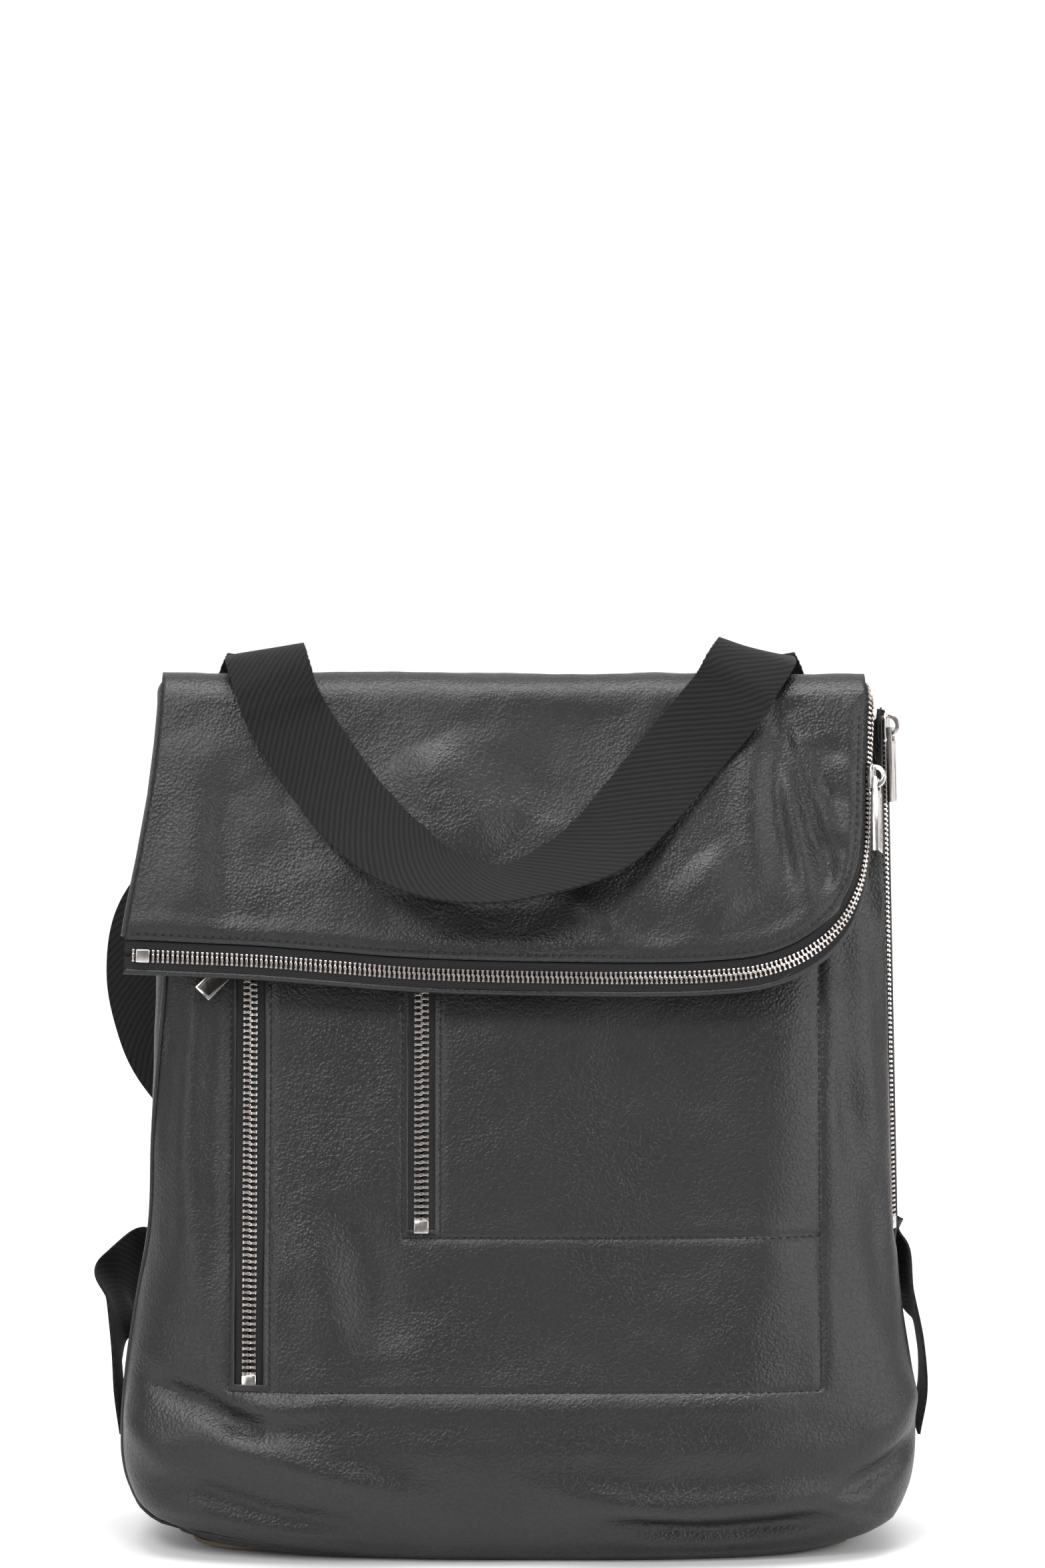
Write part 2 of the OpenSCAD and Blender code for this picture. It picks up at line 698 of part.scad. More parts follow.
// A smooth list of values through the points of a list, steps to each span
function through(k, steps) = [
    for (i = [0 : steps*(len(k) - 1)])
        let (
            j = min(floor(i/steps), len(k) - 2), u = i/steps - j,
            b = k[j], c = k[j + 1], a = k[max(j - 1, 0)], d = k[min(j + 2, len(k) - 1)]
        )
        b + u*((c - a)/2 + u*((a - 2.5*b + 2*c - d/2) + u*(1.5*b - 1.5*c + d/2 - a/2)))
];

// A band of webbing through points, its width lying along the matching directions
module band(points, sides) {
    p = through(points, 5);
    a = through(sides, 5);
    n = len(p);
    function along(i) = p[min(i + 1, n - 1)] - p[max(i - 1, 0)];
    function out(i) = let (v = cross(along(i), a[i])) v/norm(v);
    function edge(i, s, t) = p[i] + s*web_w/2*a[i] + t*web_t/2*out(i);
    color(webbing) skin(
        [for (i = [0 : n - 1]) [edge(i, -1, 1), edge(i, 1, 1)]],
        [for (i = [0 : n - 1]) [edge(i, -1, -1), edge(i, 1, -1)]]
    );
}

handle_rise = 27;                         // the handle's ends stand this far off the fold's axis

// The handle hangs in a loop on the flap's face: [across, up, out] in the flap's own frame
module handle() {
    n = fold_r + 0.5 + web_t/2;
    flap_place() band(
        [
            [-121, 0, handle_rise], [-114, -13, n + 2], [-100, -34, n + 0.6], [-84, -56, n + 3], [-64, -76, n + 8],
            [-40, -90, n + 12], [-10, -95, n + 13], [22, -85, n + 12], [42, -72, n + 8],
            [58, -54, n + 4], [83, -23, n + 2], [103, 0, handle_rise]
        ],
        [
            [0.99, 0.1, 0], [0.93, 0.36, 0], [0.85, 0.52, 0], [0.76, 0.63, -0.1], [0.6, 0.66, -0.3],
            [0.3, 0.6, -0.5], [0, 0.5, -0.6], [-0.25, 0.55, -0.5], [-0.5, 0.6, -0.3],
            [-0.68, 0.66, -0.15], [-0.8, 0.6, 0], [-0.93, 0.36, 0]
        ]
    );
}

// One end of the handle, over the fold and down to the back: x at the front, at the top and at the back
module handle_bend(x0, x1, x2, tilt0, tilt1) {
    lean = 180 - flap_lean;
    spots = [
        [handle_rise, lean - 1, x0], [30.5, 138, (2*x0 + x1)/3], [fold_r + 14.2, 104, x1],
        [fold_r + 11.5, 62, x1], [fold_r + 6, 28, x2], [fold_r + 1.7, 3, x2]
    ];
    band(
        [for (s = spots) [s.z, fold_y + s.x*cos(s.y), fold_z + s.x*sin(s.y)]],
        [[1, 0, tilt0], [1, 0, tilt1], [1, 0, tilt1/2], [1, 0, 0], [1, 0, 0], [1, 0, 0]]
    );
}

module handle_bend_left() {
    handle_bend(-121, -129, -135, 0.1, 0.12);
}

module handle_bend_right() {
    handle_bend(103, 118, 125, -0.36, -0.2);
}

// A frame on the back: X to the left seen from behind turned to world X, Y up the back, +Z outwards
tail_z = fold_z - 37;
back_tilt = atan((lookup(bulge_z, backs) - back_top)/(fold_z - bulge_z));
module back_place() {
    translate([0, lookup(tail_z, backs), tail_z]) rotate([back_tilt, 0, 0]) rotate([90, 0, 180])
        mirror([1, 0, 0]) children();
}

module handle_tail(x) {
    color(webbing) back_place() translate([x - web_w/2, 2, 0.4]) cube([web_w, 34.6, web_t]);
}

module handle_tail_left() {
    handle_tail(-135);
}

module handle_tail_right() {
    handle_tail(125);
}

// Leather strip sewn across the back over the ends of the straps and of the handle
module back_yoke() {
    color(leather) back_place() translate([-160, 0, 1.4 + web_t]) linear_extrude(leather_t)
        difference() {
            square([320, 29]);
            translate([-1, -1]) square([4, 4]);
            translate([317, -1]) square([4, 4]);
        }
}

strap_low = 56;                           // lower end of the straps above the floor
strap_back = back_y + 9.5;                // the straps' centre lines stand this far back
glide_high = 236;                         // straight run on which the right adjuster slides
glide_low = 166;
left_high = [-164, strap_back - 0.5, 214]; // and the left one's, further in behind the bag
left_low = [-158, strap_back - 2, 150];

// Middle of a strap that lies against the back at height z
function on_back(z) = lookup(z, backs) + 0.8 + web_t/2;

// Shoulder straps, from under the yoke, out and down the back, and round to their anchors on the sides
module strap_left() {
    y = strap_back;
    side = base_w/2 + 2.2;
    band(
        [
            [-54, on_back(tail_z + 17), tail_z + 17], [-60, on_back(tail_z + 7), tail_z + 7], [-68, on_back(tail_z - 5), tail_z - 5], [-76, on_back(tail_z - 15) + 0.8, tail_z - 15],
            [-94, 47, 360],
            [-131, 60, 352], [-169, y - 5, 335], [-186, y - 1, 310], [-189, y, 282], [-185, y + 0.3, 250],
            [-175, y + 0.2, 228], left_high, (left_high + left_low)/2, left_low,
            [-160, y - 3.5, 142], [-174, y - 9, 136], [-190, 54, 131], [-202, 33, 124], [-206, 13, 112],
            [-205.5, 2, 96], [-204, 0, 76], [-side, 0, strap_low]
        ],
        [
            [0.86, 0.05, -0.51], [0.84, 0.05, -0.54], [0.81, 0.05, -0.58], [0.75, 0.06, -0.66], [0.5, 0.1, -0.85],
            [0.42, 0.1, -0.9], [0.72, 0, -0.69], [0.96, 0, -0.25], [1, 0, 0.08], [0.96, 0, 0.26],
            [0.93, 0, 0.33], [0.995, 0, 0.1], [0.995, 0, 0.1], [0.995, 0, 0.1],
            [0.98, 0.1, 0.1], [0.9, 0.4, 0.1], [0.66, 0.75, 0.1], [0.35, 0.93, 0], [0.1, 0.99, 0],
            [0, 1, 0], [0, 1, 0], [0, 1, 0]
        ]
    );
}

module strap_right() {
    y = strap_back;
    side = base_w/2 + 2.2;
    band(
        [
            [54, on_back(tail_z + 17), tail_z + 17], [60, on_back(tail_z + 7), tail_z + 7], [67, on_back(tail_z - 5), tail_z - 5], [74, on_back(tail_z - 15) + 0.8, tail_z - 15],
            [84, 46, 360],
            [106, 58, 344], [136, y - 6, 320], [153, y - 2, 294], [160, y, 268], [162, y + 0.3, 246],
            [162, y, glide_high], [162, y - 1, 201], [162, y - 2, glide_low], [162, y - 2.3, 156],
            [170, y - 9, 148], [184, 48, 142], [194, 25, 135], [198, 7, 120],
            [201, 0, 100], [203, 0, 78], [side, 0, strap_low]
        ],
        [
            [-0.86, 0.05, -0.51], [-0.84, 0.05, -0.54], [-0.82, 0.05, -0.57], [-0.8, 0.06, -0.6], [-0.72, 0.1, -0.69],
            [-0.66, 0.1, -0.75], [-0.8, 0, -0.6], [-0.92, 0, -0.35], [-1, 0, -0.1], [-1, 0, 0],
            [-1, 0, 0], [-1, 0, 0], [-1, 0, 0], [-1, 0, 0],
            [-0.93, 0.3, 0], [-0.7, 0.7, 0], [-0.3, 0.95, 0], [-0.05, 1, 0],
            [0, 1, 0], [0, 1, 0], [0, 1, 0]
        ]
    );
}

// Three-bar adjuster drawn round a band that runs up Y, its two end bars behind and its middle bar in front
module adjuster() {
    wide = web_w + 3;
    bar = adjuster_bar;
    off = web_t/2 + 0.5;
    color(metal) {
        difference() {
            translate([-wide/2 - bar, -13, -off - bar]) cube([wide + 2*bar, 26, bar]);
            translate([-wide/2, -13 + bar, -off - 2*bar]) cube([wide, 26 - 2*bar, 3*bar]);
        }
        for (side = [-1, 1])
            translate([side*(wide + bar)/2 - bar/2, -3, -off - bar]) cube([bar, 6, 2*off + 2*bar]);
        translate([-wide/2 - bar, -3, off]) cube([wide + 2*bar, 6, bar]);
    }
}

// Centre of each adjuster's run, with the band's own direction
module glide_place(top, bottom, lean) {
    mid = (top + bottom)/2;
    d = top - bottom;
    up = d/norm(d);
    side = [cos(lean), 0, 0] - up*up.x*cos(lean);
    x = side/norm(side);
    z = cross(x, up);
    multmatrix([
        [x.x, up.x, z.x, mid.x], [x.y, up.y, z.y, mid.y], [x.z, up.z, z.z, mid.z], [0, 0, 0, 1]
    ]) rotate([0, 180, 0]) children();
}

module adjuster_left() {
    glide_place(left_high, left_low, 0) adjuster();
}

module adjuster_right() {
    glide_place([162, strap_back, glide_high], [162, strap_back - 2, glide_low], 0) adjuster();
}

base_panel();
base_board();
front_panel();
back_panel();
left_seam_binding();
lining();
long_pocket_bag();
short_pocket_bag();
back_yoke();
fold_leather();
fold_crease();
fold_zip();
flap_outer();
flap_inner();
flap_lining();
flap_side_wall();
flap_hem();
flap_zip_tape();
flap_zip_teeth();
flap_zip_stop();
side_zip_tape();
side_zip_teeth();
side_zip_stop();
long_zip_tape();
long_zip_teeth();
long_zip_stop();
short_zip_tape();
short_zip_teeth();
short_zip_stop();
flap_slider();
flap_puller();
side_slider();
side_puller();
long_slider();
long_puller();
short_slider();
short_puller();
handle();
handle_bend_left();
handle_bend_right();
handle_tail_left();
handle_tail_right();
strap_left();
strap_right();
adjuster_left();
adjuster_right();
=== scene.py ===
"""Leather fold-over backpack: the soft goods, zips, hardware and setting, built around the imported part.

Shapes are drawn in millimetres in the part's own frame (front at -Y, up +Z) and turned to metres as each mesh is made.
"""
import math

import bmesh
import bpy
import numpy as np
from mathutils import Matrix, Vector, noise
from mathutils.bvhtree import BVHTree


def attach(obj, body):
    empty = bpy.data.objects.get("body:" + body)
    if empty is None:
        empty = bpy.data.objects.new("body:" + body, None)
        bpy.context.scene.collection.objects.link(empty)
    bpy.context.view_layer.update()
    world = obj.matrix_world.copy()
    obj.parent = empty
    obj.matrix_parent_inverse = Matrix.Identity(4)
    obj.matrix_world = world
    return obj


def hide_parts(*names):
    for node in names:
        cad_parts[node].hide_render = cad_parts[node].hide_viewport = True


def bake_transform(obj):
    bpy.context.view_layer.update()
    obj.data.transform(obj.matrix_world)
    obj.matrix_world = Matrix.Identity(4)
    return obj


MM = 0.001
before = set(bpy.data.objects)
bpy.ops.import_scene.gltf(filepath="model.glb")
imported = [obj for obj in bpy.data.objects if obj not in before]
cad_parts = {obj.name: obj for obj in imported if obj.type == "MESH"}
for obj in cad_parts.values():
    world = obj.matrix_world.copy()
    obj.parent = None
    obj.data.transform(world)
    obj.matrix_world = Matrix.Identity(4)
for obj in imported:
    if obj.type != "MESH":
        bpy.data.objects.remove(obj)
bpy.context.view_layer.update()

# ---------------------------------------------------------------- sizes, in mm
FOLD_Y, FOLD_Z, FOLD_R = 12.0, 422.0, 19.0
LEAN = math.radians(17)
LEATHER_T = 1.7
TAPE_T, TOOTH_H = 0.9, 1.4
MAIN_PITCH, POCKET_PITCH = 2.45, 3.1
LONG_X, SHORT_X = -136.0, -50.0
LONG_Z, SHORT_Z, POCKET_TOP = 94.0, 170.0, 322.0
SIDE_Z, SIDE_TOP, SIDE_TURN = 158.0, 424.0, 18.0
WINDOW = 7.5
WEB_W, WEB_T = 40.0, 1.9
STITCH = 4.1

ACROSS = np.array([1.0, 0.0, 0.0])
FLAP_UP = np.array([0.0, math.sin(LEAN), math.cos(LEAN)])
FLAP_OUT = np.array([0.0, -math.cos(LEAN), math.sin(LEAN)])
FOLD = np.array([0.0, FOLD_Y, FOLD_Z])


# ---------------------------------------------------------------- shape helpers
def curve(keys, v):
    """A smooth value through (place, value) keys; value may be a point."""
    xs = np.array([k[0] for k in keys], float)
    ys = np.array([k[1] for k in keys], float)
    v = np.clip(np.asarray(v, float), xs[0], xs[-1])
    slope = np.gradient(ys, xs, axis=0)
    i = np.clip(np.searchsorted(xs, v, side="right") - 1, 0, len(xs) - 2)
    h = xs[i + 1] - xs[i]
    t = (v - xs[i]) / h
    if ys.ndim > 1:
        h, t = h[..., None], t[..., None]
    t2, t3 = t * t, t * t * t
    return (
        (2 * t3 - 3 * t2 + 1) * ys[i]
        + (t3 - 2 * t2 + t) * h * slope[i]
        + (3 * t2 - 2 * t3) * ys[i + 1]
        + (t3 - t2) * h * slope[i + 1]
    )


def through(points, count):
    """count points along a smooth line through the given ones, evenly spaced."""
    p = np.array(points, float)
    keys = np.concatenate([[0], np.cumsum(np.linalg.norm(np.diff(p, axis=0), axis=1))])
    fine = curve(list(zip(keys, p)), np.linspace(0, keys[-1], 12 * len(p)))
    run = np.concatenate([[0], np.cumsum(np.linalg.norm(np.diff(fine, axis=0), axis=1))])
    want = np.linspace(0, run[-1], count)
    return np.stack([np.interp(want, run, fine[:, k]) for k in range(p.shape[1])], axis=1)


def smooth_step(t):
    t = np.clip(t, 0, 1)
    return t * t * (3 - 2 * t)


def ripple(a, b, size, seed):
    """Soft undulation from -1 to 1 over two flat coordinates, of about that size."""
    flat_a, flat_b = np.ravel(a), np.ravel(b)
    return np.array(
        [noise.fractal(Vector((u / size, w / size, seed * 7.31)), 1.0, 2.1, 3) for u, w in zip(flat_a, flat_b)]
    ).reshape(np.shape(a))


def fold_line(a, b, line, wide, high, ends=0.35):
    """Height of a soft ridge (high > 0) or crease (high < 0) that runs along a line."""
    path = through(line, 25) if len(line) > 1 else np.array([line[0], line[0]], float)
    best = np.full(np.shape(a), 1e9)
    along = np.zeros(np.shape(a))
    steps = len(path) - 1
    for i in range(steps):
        p, d = path[i], path[i + 1] - path[i]
        size = max(float(d @ d), 1e-9)
        t = np.clip(((a - p[0]) * d[0] + (b - p[1]) * d[1]) / size, 0, 1)
        da, db = a - p[0] - t * d[0], b - p[1] - t * d[1]
        dist = np.hypot(da, db)
        near = dist < best
        best = np.where(near, dist, best)
        along = np.where(near, (i + t) / steps, along)
    fade = np.clip(np.minimum(along, 1 - along) / max(ends, 1e-6), 0, 1) if len(line) > 1 else 1.0
    return high * np.exp(-((best / wide) ** 2)) * np.sqrt(smooth_step(np.asarray(fade) + 0.15))


def folded(height, a, b, folds):
    """The height with (line, width, height, fade at the ends) folds laid over it."""
    for fold in folds:
        height += fold_line(a, b, *fold)
    return height


def face_outwards(mesh):
    bm = bmesh.new()
    bm.from_mesh(mesh)
    bmesh.ops.recalc_face_normals(bm, faces=bm.faces[:])
    bm.to_mesh(mesh)
    bm.free()
    return mesh


def ring_faces(rings, sides):
    """Quads round a tube of rings, without its ends."""
    return [(i * sides + k, i * sides + (k + 1) % sides, (i + 1) * sides + (k + 1) % sides, (i + 1) * sides + k)
            for i in range(rings - 1) for k in range(sides)]


def make_object(name, mesh, *materials):
    made = bpy.data.objects.new(name, mesh)
    bpy.context.scene.collection.objects.link(made)
    for m in materials:
        mesh.materials.append(m)
    return made


def mesh_of(name, verts, faces, uv=None, smooth=True):
    """A mesh from millimetre points; uv is given per point, in mm."""
    mesh = bpy.data.meshes.new(name)
    mesh.from_pydata((np.asarray(verts, float) * MM).tolist(), [], faces)
    if smooth:
        mesh.polygons.foreach_set("use_smooth", [True] * len(mesh.polygons))
    if uv is not None:
        layer = mesh.uv_layers.new(name="cloth")
        loops = np.zeros(len(mesh.loops), int)
        mesh.loops.foreach_get("vertex_index", loops)
        layer.data.foreach_set("uv", (np.asarray(uv, float)[loops] * MM).ravel())
    mesh.update()
    return mesh


def sheet_piece(name, grid, material, uv=None, flip=False, hole=None, thick=0.0, rim=None):
    """A sheet through a grid of points [row, column, xyz]. hole masks out cells; thick grows it inwards."""
    rows, cols = grid.shape[:2]
    ids = np.arange(rows * cols).reshape(rows, cols)
    quads = np.stack([ids[:-1, :-1], ids[:-1, 1:], ids[1:, 1:], ids[1:, :-1]], axis=-1)
    if flip:
        quads = quads[..., ::-1]
    quads = quads.reshape(-1, 4)
    if hole is not None:
        quads = quads[~hole.ravel()]
    flat_uv = None if uv is None else uv.reshape(-1, 2)
    mesh = mesh_of(name, grid.reshape(-1, 3), quads.tolist(), flat_uv)
    if hole is not None:
        bm = bmesh.new()
        bm.from_mesh(mesh)
        bmesh.ops.delete(bm, geom=[v for v in bm.verts if not v.link_faces], context="VERTS")
        bm.to_mesh(mesh)
        bm.free()
    made = make_object(name, mesh, material)
    if rim is not None:
        mesh.materials.append(rim)
    if thick:
        solid = made.modifiers.new("thickness", "SOLIDIFY")
        solid.thickness = thick * MM
        solid.offset = -1
        solid.use_even_offset = False
        if rim is not None:
            solid.material_offset_rim = 1
    return made


def set_in(grid, depth):
    """The grid moved along its own normals."""
    du = np.gradient(grid, axis=1)
    dv = np.gradient(grid, axis=0)
    normal = np.cross(du, dv)
    normal /= np.maximum(np.linalg.norm(normal, axis=-1, keepdims=True), 1e-9)
    return grid + normal * np.asarray(depth)[..., None]


# ---------------------------------------------------------------- materials
def shader(name, colour, roughness, metallic=0.0):
    material = bpy.data.materials.new(name)
    material.use_nodes = True
    nodes, links = material.node_tree.nodes, material.node_tree.links
    base = nodes["Principled BSDF"]
    base.inputs["Base Color"].default_value = (*colour, 1)
    base.inputs["Roughness"].default_value = roughness
    base.inputs["Metallic"].default_value = metallic
    return material, nodes, links, base


def node(nodes, kind, **values):
    made = nodes.new(kind)
    for key, value in values.items():
        if hasattr(made, key):
            setattr(made, key, value)
        else:
            made.inputs[key.replace("_", " ")].default_value = value
    return made


def ramp(nodes, links, source, low, high, bottom, top):
    """Maps source from low..high to bottom..top."""
    made = node(nodes, "ShaderNodeMapRange")
    for key, value in (("From Min", low), ("From Max", high), ("To Min", bottom), ("To Max", top)):
        made.inputs[key].default_value = value
    links.new(source, made.inputs["Value"])
    return made.outputs["Result"]


def two_tones(nodes, links, source, dark, light):
    mix = node(nodes, "ShaderNodeMix", data_type="RGBA")
    mix.inputs[6].default_value = (*dark, 1)
    mix.inputs[7].default_value = (*light, 1)
    links.new(source, mix.inputs[0])
    return mix.outputs[2]


def toned(nodes, links, base, source, low, high, colour, dark, light):
    """Colours a finish from dark to light shares of its colour as source goes from low to high."""
    share = ramp(nodes, links, source, low, high, 0.0, 1.0)
    tone = two_tones(nodes, links, share, tuple(dark * c for c in colour), tuple(light * c for c in colour))
    links.new(tone, base.inputs["Base Color"])


def sum_of(nodes, links, kind, a, b):
    made = node(nodes, "ShaderNodeMath", operation=kind)
    for k, source in enumerate((a, b)):
        if isinstance(source, (int, float)):
            made.inputs[k].default_value = source
        else:
            links.new(source, made.inputs[k])
    return made.outputs[0]


def bump(nodes, links, base, source, distance, strength=1.0):
    made = node(nodes, "ShaderNodeBump")
    made.inputs["Distance"].default_value = distance
    made.inputs["Strength"].default_value = strength
    links.new(source, made.inputs["Height"])
    links.new(made.outputs["Normal"], base.inputs["Normal"])


def leather_finish(name, grain=1.6, depth=0.0002, colour=(0.0072, 0.007, 0.0072), rough=0.37):
    """Pebbled black leather: domed grains with fine creases, in patches of tighter and looser grain."""
    material, nodes, links, base = shader(name, colour, rough)
    place = node(nodes, "ShaderNodeTexCoord").outputs["Object"]
    warp = node(nodes, "ShaderNodeTexNoise", Scale=260.0, Detail=2.0)
    links.new(place, warp.inputs["Vector"])
    push = node(nodes, "ShaderNodeVectorMath", operation="MULTIPLY_ADD")
    push.inputs[1].default_value = (0.0011, 0.0011, 0.0011)
    links.new(warp.outputs["Color"], push.inputs[0])
    links.new(place, push.inputs[2])
    cells = node(nodes, "ShaderNodeTexVoronoi", feature="SMOOTH_F1", Scale=1000.0 / grain)
    cells.inputs["Smoothness"].default_value = 0.35
    cells.inputs["Randomness"].default_value = 0.95
    links.new(push.outputs[0], cells.inputs["Vector"])
    coarse = node(nodes, "ShaderNodeTexVoronoi", feature="DISTANCE_TO_EDGE", Scale=1000.0 / (grain * 2.3))
    links.new(push.outputs[0], coarse.inputs["Vector"])
    creases = ramp(nodes, links, coarse.outputs["Distance"], 0.0, 0.12, 0.0, 1.0)
    fine = node(nodes, "ShaderNodeTexNoise", Scale=2600.0, Detail=2.0)
    links.new(place, fine.inputs["Vector"])
    patch = node(nodes, "ShaderNodeTexNoise", Scale=16.0, Detail=3.0)
    links.new(place, patch.inputs["Vector"])
    domes = ramp(nodes, links, cells.outputs["Distance"], 0.0, 0.75, 1.0, 0.0)
    strength = ramp(nodes, links, patch.outputs["Fac"], 0.3, 0.7, 0.55, 1.15)
    height = sum_of(nodes, links, "MULTIPLY", domes, strength)
    height = sum_of(nodes, links, "ADD", height, sum_of(nodes, links, "MULTIPLY", creases, 0.3))
    height = sum_of(nodes, links, "ADD", height, sum_of(nodes, links, "MULTIPLY", fine.outputs["Fac"], 0.12))
    bump(nodes, links, base, height, depth)
    # painted shade and painted light: the colour follows the grain's height, darker in the creases between grains and
    # lighter on the domes
    toned(nodes, links, base, height, 0.1, 1.3, colour, 0.55, 1.5)
    sheen_patch = ramp(nodes, links, patch.outputs["Fac"], 0.3, 0.7, rough + 0.05, rough - 0.06)
    rough_out = sum_of(nodes, links, "ADD", sheen_patch, ramp(nodes, links, domes, 0.0, 1.0, 0.1, -0.04))
    links.new(rough_out, base.inputs["Roughness"])
    base.inputs["Specular IOR Level"].default_value = 0.42
    return material


def webbing_finish(name, colour=(0.0085, 0.0085, 0.0088), rough=0.82):
    """Fine diagonal twill, from the piece's own lengthwise and crosswise measure."""
    material, nodes, links, base = shader(name, colour, rough)
    uv = node(nodes, "ShaderNodeUVMap", uv_map="cloth").outputs["UV"]
    twill = node(nodes, "ShaderNodeTexWave", wave_type="BANDS", bands_direction="DIAGONAL", Scale=165.0)
    twill.inputs["Distortion"].default_value = 0.6
    twill.inputs["Detail"].default_value = 1.0
    links.new(uv, twill.inputs["Vector"])
    ribs = node(nodes, "ShaderNodeTexWave", wave_type="BANDS", bands_direction="Y", Scale=520.0)
    links.new(uv, ribs.inputs["Vector"])
    fuzz = node(nodes, "ShaderNodeTexNoise", Scale=900.0, Detail=3.0)
    links.new(uv, fuzz.inputs["Vector"])
    rib_height = sum_of(nodes, links, "MULTIPLY", ribs.outputs["Fac"], 0.35)
    height = sum_of(nodes, links, "ADD", twill.outputs["Fac"], rib_height)
    height = sum_of(nodes, links, "ADD", height, sum_of(nodes, links, "MULTIPLY", fuzz.outputs["Fac"], 0.5))
    bump(nodes, links, base, height, 0.00014)
    # painted shade and painted light, with some random fuzz: the colour follows the twill's height, darker in its
    # grooves and lighter on its ridges
    toned(nodes, links, base, height, 0.3, 1.6, colour, 0.5, 1.55)
    base.inputs["Specular IOR Level"].default_value = 0.14
    base.inputs["Sheen Weight"].default_value = 0.05
    base.inputs["Sheen Roughness"].default_value = 0.5
    return material


def weave_finish(name, colour, thread, rough, depth, coordinates="cloth"):
    """Plain weave of the given thread width in mm."""
    material, nodes, links, base = shader(name, colour, rough)
    uv = node(nodes, "ShaderNodeUVMap", uv_map=coordinates).outputs["UV"]
    waves = []
    for direction in ("X", "Y"):
        w = node(nodes, "ShaderNodeTexWave", wave_type="BANDS", bands_direction=direction, Scale=314.0 / thread / 2)
        w.inputs["Distortion"].default_value = 0.5
        links.new(uv, w.inputs["Vector"])
        waves.append(w.outputs["Fac"])
    height = sum_of(nodes, links, "MULTIPLY", waves[0], waves[1])
    fuzz = node(nodes, "ShaderNodeTexNoise", Scale=1200.0, Detail=2.0)
    links.new(uv, fuzz.inputs["Vector"])
    height = sum_of(nodes, links, "ADD", height, sum_of(nodes, links, "MULTIPLY", fuzz.outputs["Fac"], 0.3))
    bump(nodes, links, base, height, depth)
    # painted shade and painted light, with some random fuzz: the colour follows the weave's height, darker between the
    # threads and lighter on the raised threads
    toned(nodes, links, base, height, 0.0, 1.1, colour, 0.55, 1.4)
    base.inputs["Specular IOR Level"].default_value = 0.25
    return material


def metal_finish(name, colour=(0.62, 0.59, 0.57), rough=0.2, brushed=0.06):
    """Plated metal with faint handling marks."""
    material, nodes, links, base = shader(name, colour, rough, 1.0)
    place = node(nodes, "ShaderNodeTexCoord").outputs["Object"]
    marks = node(nodes, "ShaderNodeTexNoise", Scale=700.0, Detail=4.0)
    stretch = node(nodes, "ShaderNodeMapping")
    stretch.inputs["Scale"].default_value = (1.0, 1.0, 0.15)
    links.new(place, stretch.inputs["Vector"])
    links.new(stretch.outputs[0], marks.inputs["Vector"])
    polish = ramp(nodes, links, marks.outputs["Fac"], 0.3, 0.75, rough - brushed, rough + brushed)
    links.new(polish, base.inputs["Roughness"])
    toned(nodes, links, base, marks.outputs["Fac"], 0.25, 0.8, colour, 0.86, 1.0)
    bump(nodes, links, base, marks.outputs["Fac"], 0.000012)
    return material


def plain_finish(name, colour, rough, size, depth, spread=0.3):
    """A matt finish with a fine irregular surface."""
    material, nodes, links, base = shader(name, colour, rough)
    place = node(nodes, "ShaderNodeTexCoord").outputs["Object"]
    grain = node(nodes, "ShaderNodeTexNoise", Scale=size, Detail=4.0)
    links.new(place, grain.inputs["Vector"])
    bump(nodes, links, base, grain.outputs["Fac"], depth)
    toned(nodes, links, base, grain.outputs["Fac"], 0.25, 0.75, colour, 1 - spread, 1 + spread)
    return material


LEATHER = leather_finish("pebbled_leather")
EDGE = plain_finish("painted_leather_edge", (0.012, 0.012, 0.012), 0.5, 900.0, 0.00008)
WEBBING = webbing_finish("twill_webbing")
TAPE = weave_finish("woven_zip_tape", (0.011, 0.011, 0.012), 0.55, 0.8, 0.00012)
LINING = weave_finish("lining_cloth", (0.022, 0.021, 0.026), 0.5, 0.7, 0.00008)
NICKEL = metal_finish("polished_nickel")
TEETH = metal_finish("nickel_teeth", (0.66, 0.6, 0.57), 0.24)
THREAD = plain_finish("black_thread", (0.005, 0.005, 0.005), 0.7, 2500.0, 0.00005)
# near-black matt finish for the cones that stand as painted shade of the needle holes
HOLE_SHADE = plain_finish("needle_hole_shade", (0.0015, 0.0015, 0.0015), 0.95, 1500.0, 0.00002)
BOARD = plain_finish("fibre_board", (0.12, 0.085, 0.055), 0.85, 500.0, 0.0002)


# ---------------------------------------------------------------- the bag's section
HALF_LEFT = [(0, 171), (4, 182.5), (12, 192.5), (28, 199.8), (45, 203), (62, 203.2), (95, 200.6), (128, 195.6),
             (162, 190), (212, 189), (245, 187.8), (278, 186.4), (330, 184.5), (440, 182.5)]
HALF_RIGHT = [(0, 169), (4, 180), (12, 189.5), (28, 197.2), (45, 200.6), (62, 201.6), (95, 199), (128, 194),
              (158, 191.5), (205, 191), (245, 189.6), (295, 187.2), (330, 185.6), (440, 182.6)]
FRONTS = [(0, -60.02), (4, -66.02), (12, -71.02), (28, -75.02), (60, -76.02), (418, 8.9), (440, 12)]
BACKS = [(0, 51.98), (4, 55.98), (12, 59.98), (28, 62.98), (60, 63.98), (422, 31.0), (440, 29.5)]
CAD_HALF = [(0, 173), (4, 182), (12, 190), (28, 196), (60, 199), (158, 190), (430, 183)]


def linear(keys, v):
    return np.interp(v, [k[0] for k in keys], [k[1] for k in keys])


